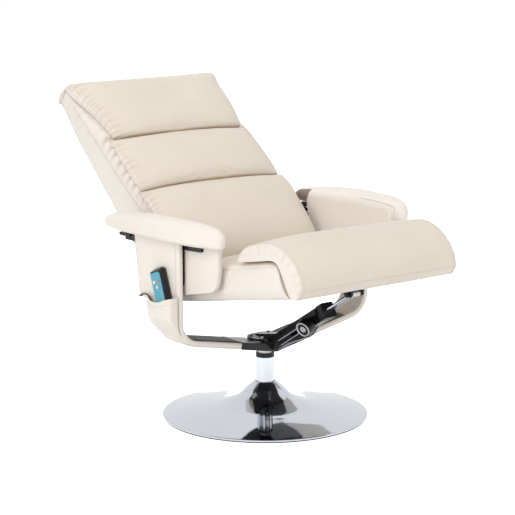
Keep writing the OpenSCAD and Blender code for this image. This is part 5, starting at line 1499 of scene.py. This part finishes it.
class RECLINER_OT_shell(bpy.types.Operator):
    """The back's rear cover with its sides, and the gathered gussets between it and the cushions"""
    bl_idname = "recliner.shell"
    bl_label = "Rear cover and gussets"

    def execute(self, context):
        v = np.concatenate([np.linspace(-16, 20, 12), np.linspace(28, 500, 66), np.linspace(506, 537, 10)])
        rear = np.interp(v, [-16, -4, 20, 172, 414, 505, 530, 537], [4, -8, -12.6, -19, -22, -20.4, -19, -15])
        front = np.interp(v, SHELL_V + [526, 537], SHELL_W + [34, 0])
        front = np.maximum(front, rear + 3)
        corner = 22.0
        m_side, m_corner, m_rear = 14, 9, 40
        rows_out, rows_in = [], []
        for vi, wr, wf in zip(v, rear, front):
            r = min(corner, (wf - wr) * 0.8)
            path = [(BACK_HALF, w) for w in np.linspace(wf, wr + r, m_side, endpoint=False)]
            turns = np.linspace(0, math.pi / 2, m_corner)
            path += [(BACK_HALF - r + r * math.cos(g), wr + r - r * math.sin(g)) for g in turns]
            half = np.array(path)
            across = np.linspace(BACK_HALF - r, -(BACK_HALF - r), m_rear + 2)[1:-1]
            full = np.concatenate([half, np.stack([across, np.full(m_rear, wr)], -1), half[::-1] * [-1, 1]])
            crown = 5.0 * np.clip(1 - (full[:, 0] / 238) ** 4, 0, 1)
            crown *= np.clip(1 - ((vi - 260) / 300) ** 4, 0, 1)
            rows_out.append(np.stack([full[:, 0], np.full(len(full), vi), full[:, 1] - crown], -1))
            inward = np.sign(full[:, 0]) * np.clip((np.abs(full[:, 0]) - 225) / 25, 0, 1) * 9.4
            depth = np.minimum(full[:, 1], wf) + 9 * fade(np.abs(full[:, 0]), 238, 249)
            rows_in.append(np.stack([full[:, 0] - inward, np.full(len(full), vi), depth], -1))
        out, inn = np.array(rows_out), np.array(rows_in)
        top = back_point(out[:, :, 0], out[:, :, 1], out[:, :, 2])
        low = back_point(inn[:, :, 0], inn[:, :, 1], inn[:, :, 2])
        obj, upper, _ = boxed_form("rear_cover", top, low, 2, [paint("side")])
        smooth_piece(obj)
        x, up, w = local_back(obj)
        # painted shade in the creases along the side seams
        near_seam = fade(np.abs(w - np.interp(up, SHELL_V, SHELL_W)), 0, 26) * fade(250 - np.abs(x), 3, 8)
        ridge = folds(up, 52, 34.0)
        press(obj, 0.0014 * near_seam * (1 - ridge), 0.25 * near_seam * (1 - ridge))
        soft_waves(obj, 0.15, 0.0022, 9.2)
        soft_waves(obj, 0.06, 0.0011, 4.6)
        settle(obj, "back", ["back_shell"])
        for j in (0, out.shape[1] - 1):
            seam("back", lines_at(obj, upper[3:-12, j], 0.0002))
        for j in (m_side + 4, out.shape[1] - 1 - m_side - 4):
            seam("back", lines_at(obj, upper[6:-4, j], 0.0002))

        gv = np.concatenate([np.linspace(-84, 10, 26), np.linspace(14, 505, 150), np.linspace(510, 542, 10)])
        back_w = np.interp(gv, [-86, -29, 0, 11, 506, 535, 542], [106, 59, 24, 0.4, 0.4, -8, -13])
        front_w = core_front(gv) - 0.4
        seam_w = np.interp(gv, SHELL_V, SHELL_W)
        seam_w = np.clip(seam_w, back_w + 2, front_w - 4)
        hidden, shown = 6, 34
        share_in, share_out = np.linspace(0, 1, hidden), np.linspace(0, 1, shown)
        w = np.concatenate([back_w[:, None] + (seam_w - 1.0 - back_w)[:, None] * share_in,
                            seam_w[:, None] + (front_w - seam_w)[:, None] * share_out], 1)
        vv = np.broadcast_to(gv[:, None], w.shape)
        sides = []
        shade_marks = []
        for side in (-1, 1):
            across = np.concatenate([np.zeros(hidden), share_out])[None, :] * np.ones_like(w)
            lean = vv - 0.4 * (w - seam_w[:, None])
            ridge = folds(lean, 61 + side, 30.0)
            strong = np.clip(fade(np.abs(vv - 220), 70, 200) + 0.25, 0, 1)
            near = across ** 1.3 * strong
            shape = 248.6 - 7.5 * across ** 2.2 + 2.2 * np.sin(math.pi * across)
            shape += 1.2 * wave(vv, 8 + side, 60) * across
            x = np.where(np.arange(w.shape[1])[None, :] < hidden, np.where(vv > 518, 249.2, 239.6),
                         shape - 9.5 * near * (1 - ridge))
            x = np.where(vv < 2, np.minimum(x, 239.6), x)
            sides.append(back_point(side * x, vv, w))
            # painted shade in the creases of the gathered gussets
            shade_marks.append(np.clip(near * (1 - ridge) * 1.2, 0, 1))
        core, right_ids, left_ids = boxed_form("back_gussets", sides[0], sides[1], 2, [paint("side")])
        shade = np.zeros(len(core.data.vertices))
        shade[right_ids.ravel()] = shade_marks[0].ravel()
        shade[left_ids.ravel()] = shade_marks[1].ravel()
        paint_shade(core, shade)
        settle(core, "back", ["back_core"])
        return {"FINISHED"}


CUSHION_V = [0, 0.006, 0.025, 0.06, 0.13, 0.24, 0.38, 0.52, 0.66, 0.78, 0.88, 0.95, 0.98, 0.994, 1]
LUMBAR_RISE = [0.05, 0.2, 0.4, 0.62, 0.8, 0.93, 1, 1, 1, 0.98, 0.92, 0.8, 0.62, 0.4, 0.1]
MIDDLE_RISE = [0.1, 0.42, 0.66, 0.84, 0.95, 1, 1, 0.98, 0.92, 0.84, 0.74, 0.62, 0.48, 0.3, 0.1]
HEAD_TOP_V = [0, 0.009, 0.034, 0.094, 0.21, 0.373, 0.565, 0.758, 0.878, 0.942, 0.976, 1, 1, 0.968, 0.919]
HEAD_LOW_V = [0, 0.094, 0.2, 0.33, 0.458, 0.587, 0.707, 0.809, 0.887, 0.939, 0.932, 0.922, 0.916, 0.913,
              0.911]
HEAD_OVER = [40.5, 25.0, 11.0, 0.0, -10.0, -17.0]
HEAD_RISE = [0.12, 0.3, 0.5, 0.68, 0.82, 0.93, 1, 1, 1, 0.76, 0.7, 0.54, 0.28, 0.12, -0.05]
LUMBAR_LOW, LUMBAR_KEEP = -137.0, 0.8
HEAD_SPAN = [0, 0, 0.02, 0.08, 0.2, 0.38, 0.6, 0.82, 0.95, 1, 1, 1, 1, 1, 1]


def squash_lumbar(obj):
    """The lumbar cushion sits on the seat; this only gives its piece its own copy of the mesh."""
    up = back_point(0, 1, 0) - back_point(0, 0, 0)
    tuple(back_point(0, 128, 118))
    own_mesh(obj)


class RECLINER_OT_cushions(bpy.types.Operator):
    """The lumbar, middle and head cushions with their gathered ends"""
    bl_idname = "recliner.cushions"
    bl_label = "Back cushions"

    def execute(self, context):
        sizes = context.scene.recliner_sizes
        shares = np.array(CUSHION_V)
        head_v = 323 + 233.5 * np.array(HEAD_TOP_V)
        head_low = 323 + 233.5 * np.array(HEAD_LOW_V)
        head_base = np.concatenate([core_front(head_v[:9]) + 0.9, HEAD_OVER])
        head_floor = np.concatenate([core_front(head_low[:9]) + 0.9, HEAD_OVER])
        plans = (
            ("lumbar_pad", "lumbar_cushion", LUMBAR_LOW + (128 - LUMBAR_LOW) * shares,
             LUMBAR_LOW + (128 - LUMBAR_LOW) * np.linspace(0, 1, 15), None, LUMBAR_RISE, 46.0,
             np.full(15, 249.0), (0.3, 2.3), 40.0),
            ("middle_pad", "middle_cushion", 129 + 193 * shares, 129 + 193 * np.linspace(0, 1, 15), None,
             MIDDLE_RISE, 42.0,
             np.full(15, 239.5), (0.2, 2.1), 44.0),
            ("head_pad", "head_cushion", head_v, head_low, (head_base, head_floor), HEAD_RISE, 50.0,
             222 + 31 * np.array(HEAD_SPAN), (0.64, 2.8), 46.0))
        rails = []
        for number, (name, node, top_v, low_v, base, rise, crown, half, ends, reach) in enumerate(plans):
            if base is None:
                base = (core_front(top_v) + 0.9, core_front(low_v) + 0.9)
            m = 88
            outlines = [top_v, base[0] + crown * np.array(rise), low_v, base[1], half]
            joined = smooth_line(np.stack(outlines, -1), m)
            joined[:, 3] = np.where(joined[:, 3] > 41, core_front(joined[:, 2]) + 0.9, joined[:, 3])
            n = 84
            t, f = end_stations(250, crown * (1 - ends[0]), ends[1], n)
            k = (ends[0] + (1 - ends[0]) * f)[:, None]
            side = t[:, None] * joined[None, :, 4]
            vv = joined[None, :, 2] + (joined[None, :, 0] - joined[None, :, 2]) * k
            ww = joined[None, :, 3] + (joined[None, :, 1] - joined[None, :, 3]) * k
            under = np.broadcast_to(joined[None, :, 3], side.shape)
            if number == 2:
                corner = 5 * np.clip((np.abs(side) - 226) / 27, 0, 1) ** 1.6
                ww = ww + corner * np.clip((12 - ww) / 24, 0, 1)
                under = under + corner * np.clip((12 - under) / 24, 0, 1)
            top = back_point(side, vv, ww)
            low = back_point(side, np.broadcast_to(joined[None, :, 2], side.shape), under)
            obj, upper, lower = boxed_form(name, top, low, 6, [paint("seat"), paint("side")])
            free = np.ones(len(obj.data.vertices))
            free[lower.ravel()] = 0
            puff(obj, free, sizes.pressure, sizes.cap)
            smooth_piece(obj)
            for i in (0, n - 1):
                line = lines_at(obj, upper[i, 2:m - 2], 0)
                # painted shade in the creases of the end gathers
                gather(obj, line, reach, sizes.gather_depth, sizes.gather, 70 + 7 * number + i,
                       coords(obj)[:, 0] * (1 if i else -1) > 0)
            v = local_back(obj)[1]
            # painted shade along the edges where the cushions meet, for the gap between them
            if number < 2:
                paint_shade(obj, 0.95 * fade(top_v[-1] - v, 0.5, 5.5))
            if number > 0:
                paint_shade(obj, 0.95 * fade(v - top_v[0], 0.5, 5.5))
            soft_waves(obj, 0.15, 0.0020, 12.0 + number)
            # painted light: the lighter side leather on the faces that look sideways
            lit_sideways_faces(obj, 0.72)
            settle(obj, "back", [node])
            own = []
            for i in (0, n - 1):
                line = lines_at(obj, upper[i, 2:m - 2], 0.0002)
                seam("back" if number else "lumbar", line)
                own.append(line)
            if number:
                rails += own
            else:
                edge = piping("lumbar_piping", own, "back")
                squash_lumbar(obj)
                squash_lumbar(edge)
        piping("cushion_piping", rails, "back")
        return {"FINISHED"}


class RECLINER_OT_stitches(bpy.types.Operator):
    """Stitches along every seam, one piece for each body"""
    bl_idname = "recliner.stitches"
    bl_label = "Stitches"

    def execute(self, context):
        sizes = context.scene.recliner_sizes
        tree = stitch_tree(sizes)
        values = {"Pitch": sizes.pitch, "Length": sizes.stitch, "Radius": sizes.thread,
                  "Unevenness": STITCH_UNEVENNESS, "Seed": STITCH_SEED}
        for body, lines in SEAMS.items():
            obj = repeat_along(body + "_stitches", lines, tree, values, paint("thread"))
            settle(obj, "back" if body == "lumbar" else body)
            if body == "lumbar":
                squash_lumbar(obj)
        return {"FINISHED"}


class RECLINER_PT_panel(bpy.types.Panel):
    """Lists the recliner's pieces in the sidebar"""
    bl_idname = "RECLINER_PT_panel"
    bl_label = "Recliner"
    bl_space_type = "VIEW_3D"
    bl_region_type = "UI"
    bl_category = "Recliner"

    def draw(self, context):
        for group in (context.scene.recliner_sizes, context.scene.recliner_colours):
            box = self.layout.box()
            for key in group.__annotations__:
                box.prop(group, key)
        for operator in OPERATORS:
            self.layout.operator(operator.bl_idname)


GROUPS = (ReclinerSizes, ReclinerColours)
OPERATORS = (RECLINER_OT_stage, RECLINER_OT_cord, RECLINER_OT_finishes, RECLINER_OT_lever,
             RECLINER_OT_base, RECLINER_OT_bands, RECLINER_OT_arm_pads, RECLINER_OT_arm_panels,
             RECLINER_OT_pocket, RECLINER_OT_handset, RECLINER_OT_seat,
             RECLINER_OT_roll, RECLINER_OT_shell, RECLINER_OT_cushions, RECLINER_OT_stitches)


def register():
    for item in GROUPS + OPERATORS + (RECLINER_PT_panel,):
        bpy.utils.register_class(item)
    bpy.types.Scene.recliner_sizes = PointerProperty(type=ReclinerSizes)
    bpy.types.Scene.recliner_colours = PointerProperty(type=ReclinerColours)


def unregister():
    del bpy.types.Scene.recliner_sizes
    del bpy.types.Scene.recliner_colours
    for item in reversed(GROUPS + OPERATORS + (RECLINER_PT_panel,)):
        bpy.utils.unregister_class(item)


def main():
    register()
    for operator in OPERATORS:
        family, name = operator.bl_idname.split(".")
        getattr(getattr(bpy.ops, family), name)()


if __name__ == "__main__":
    main()
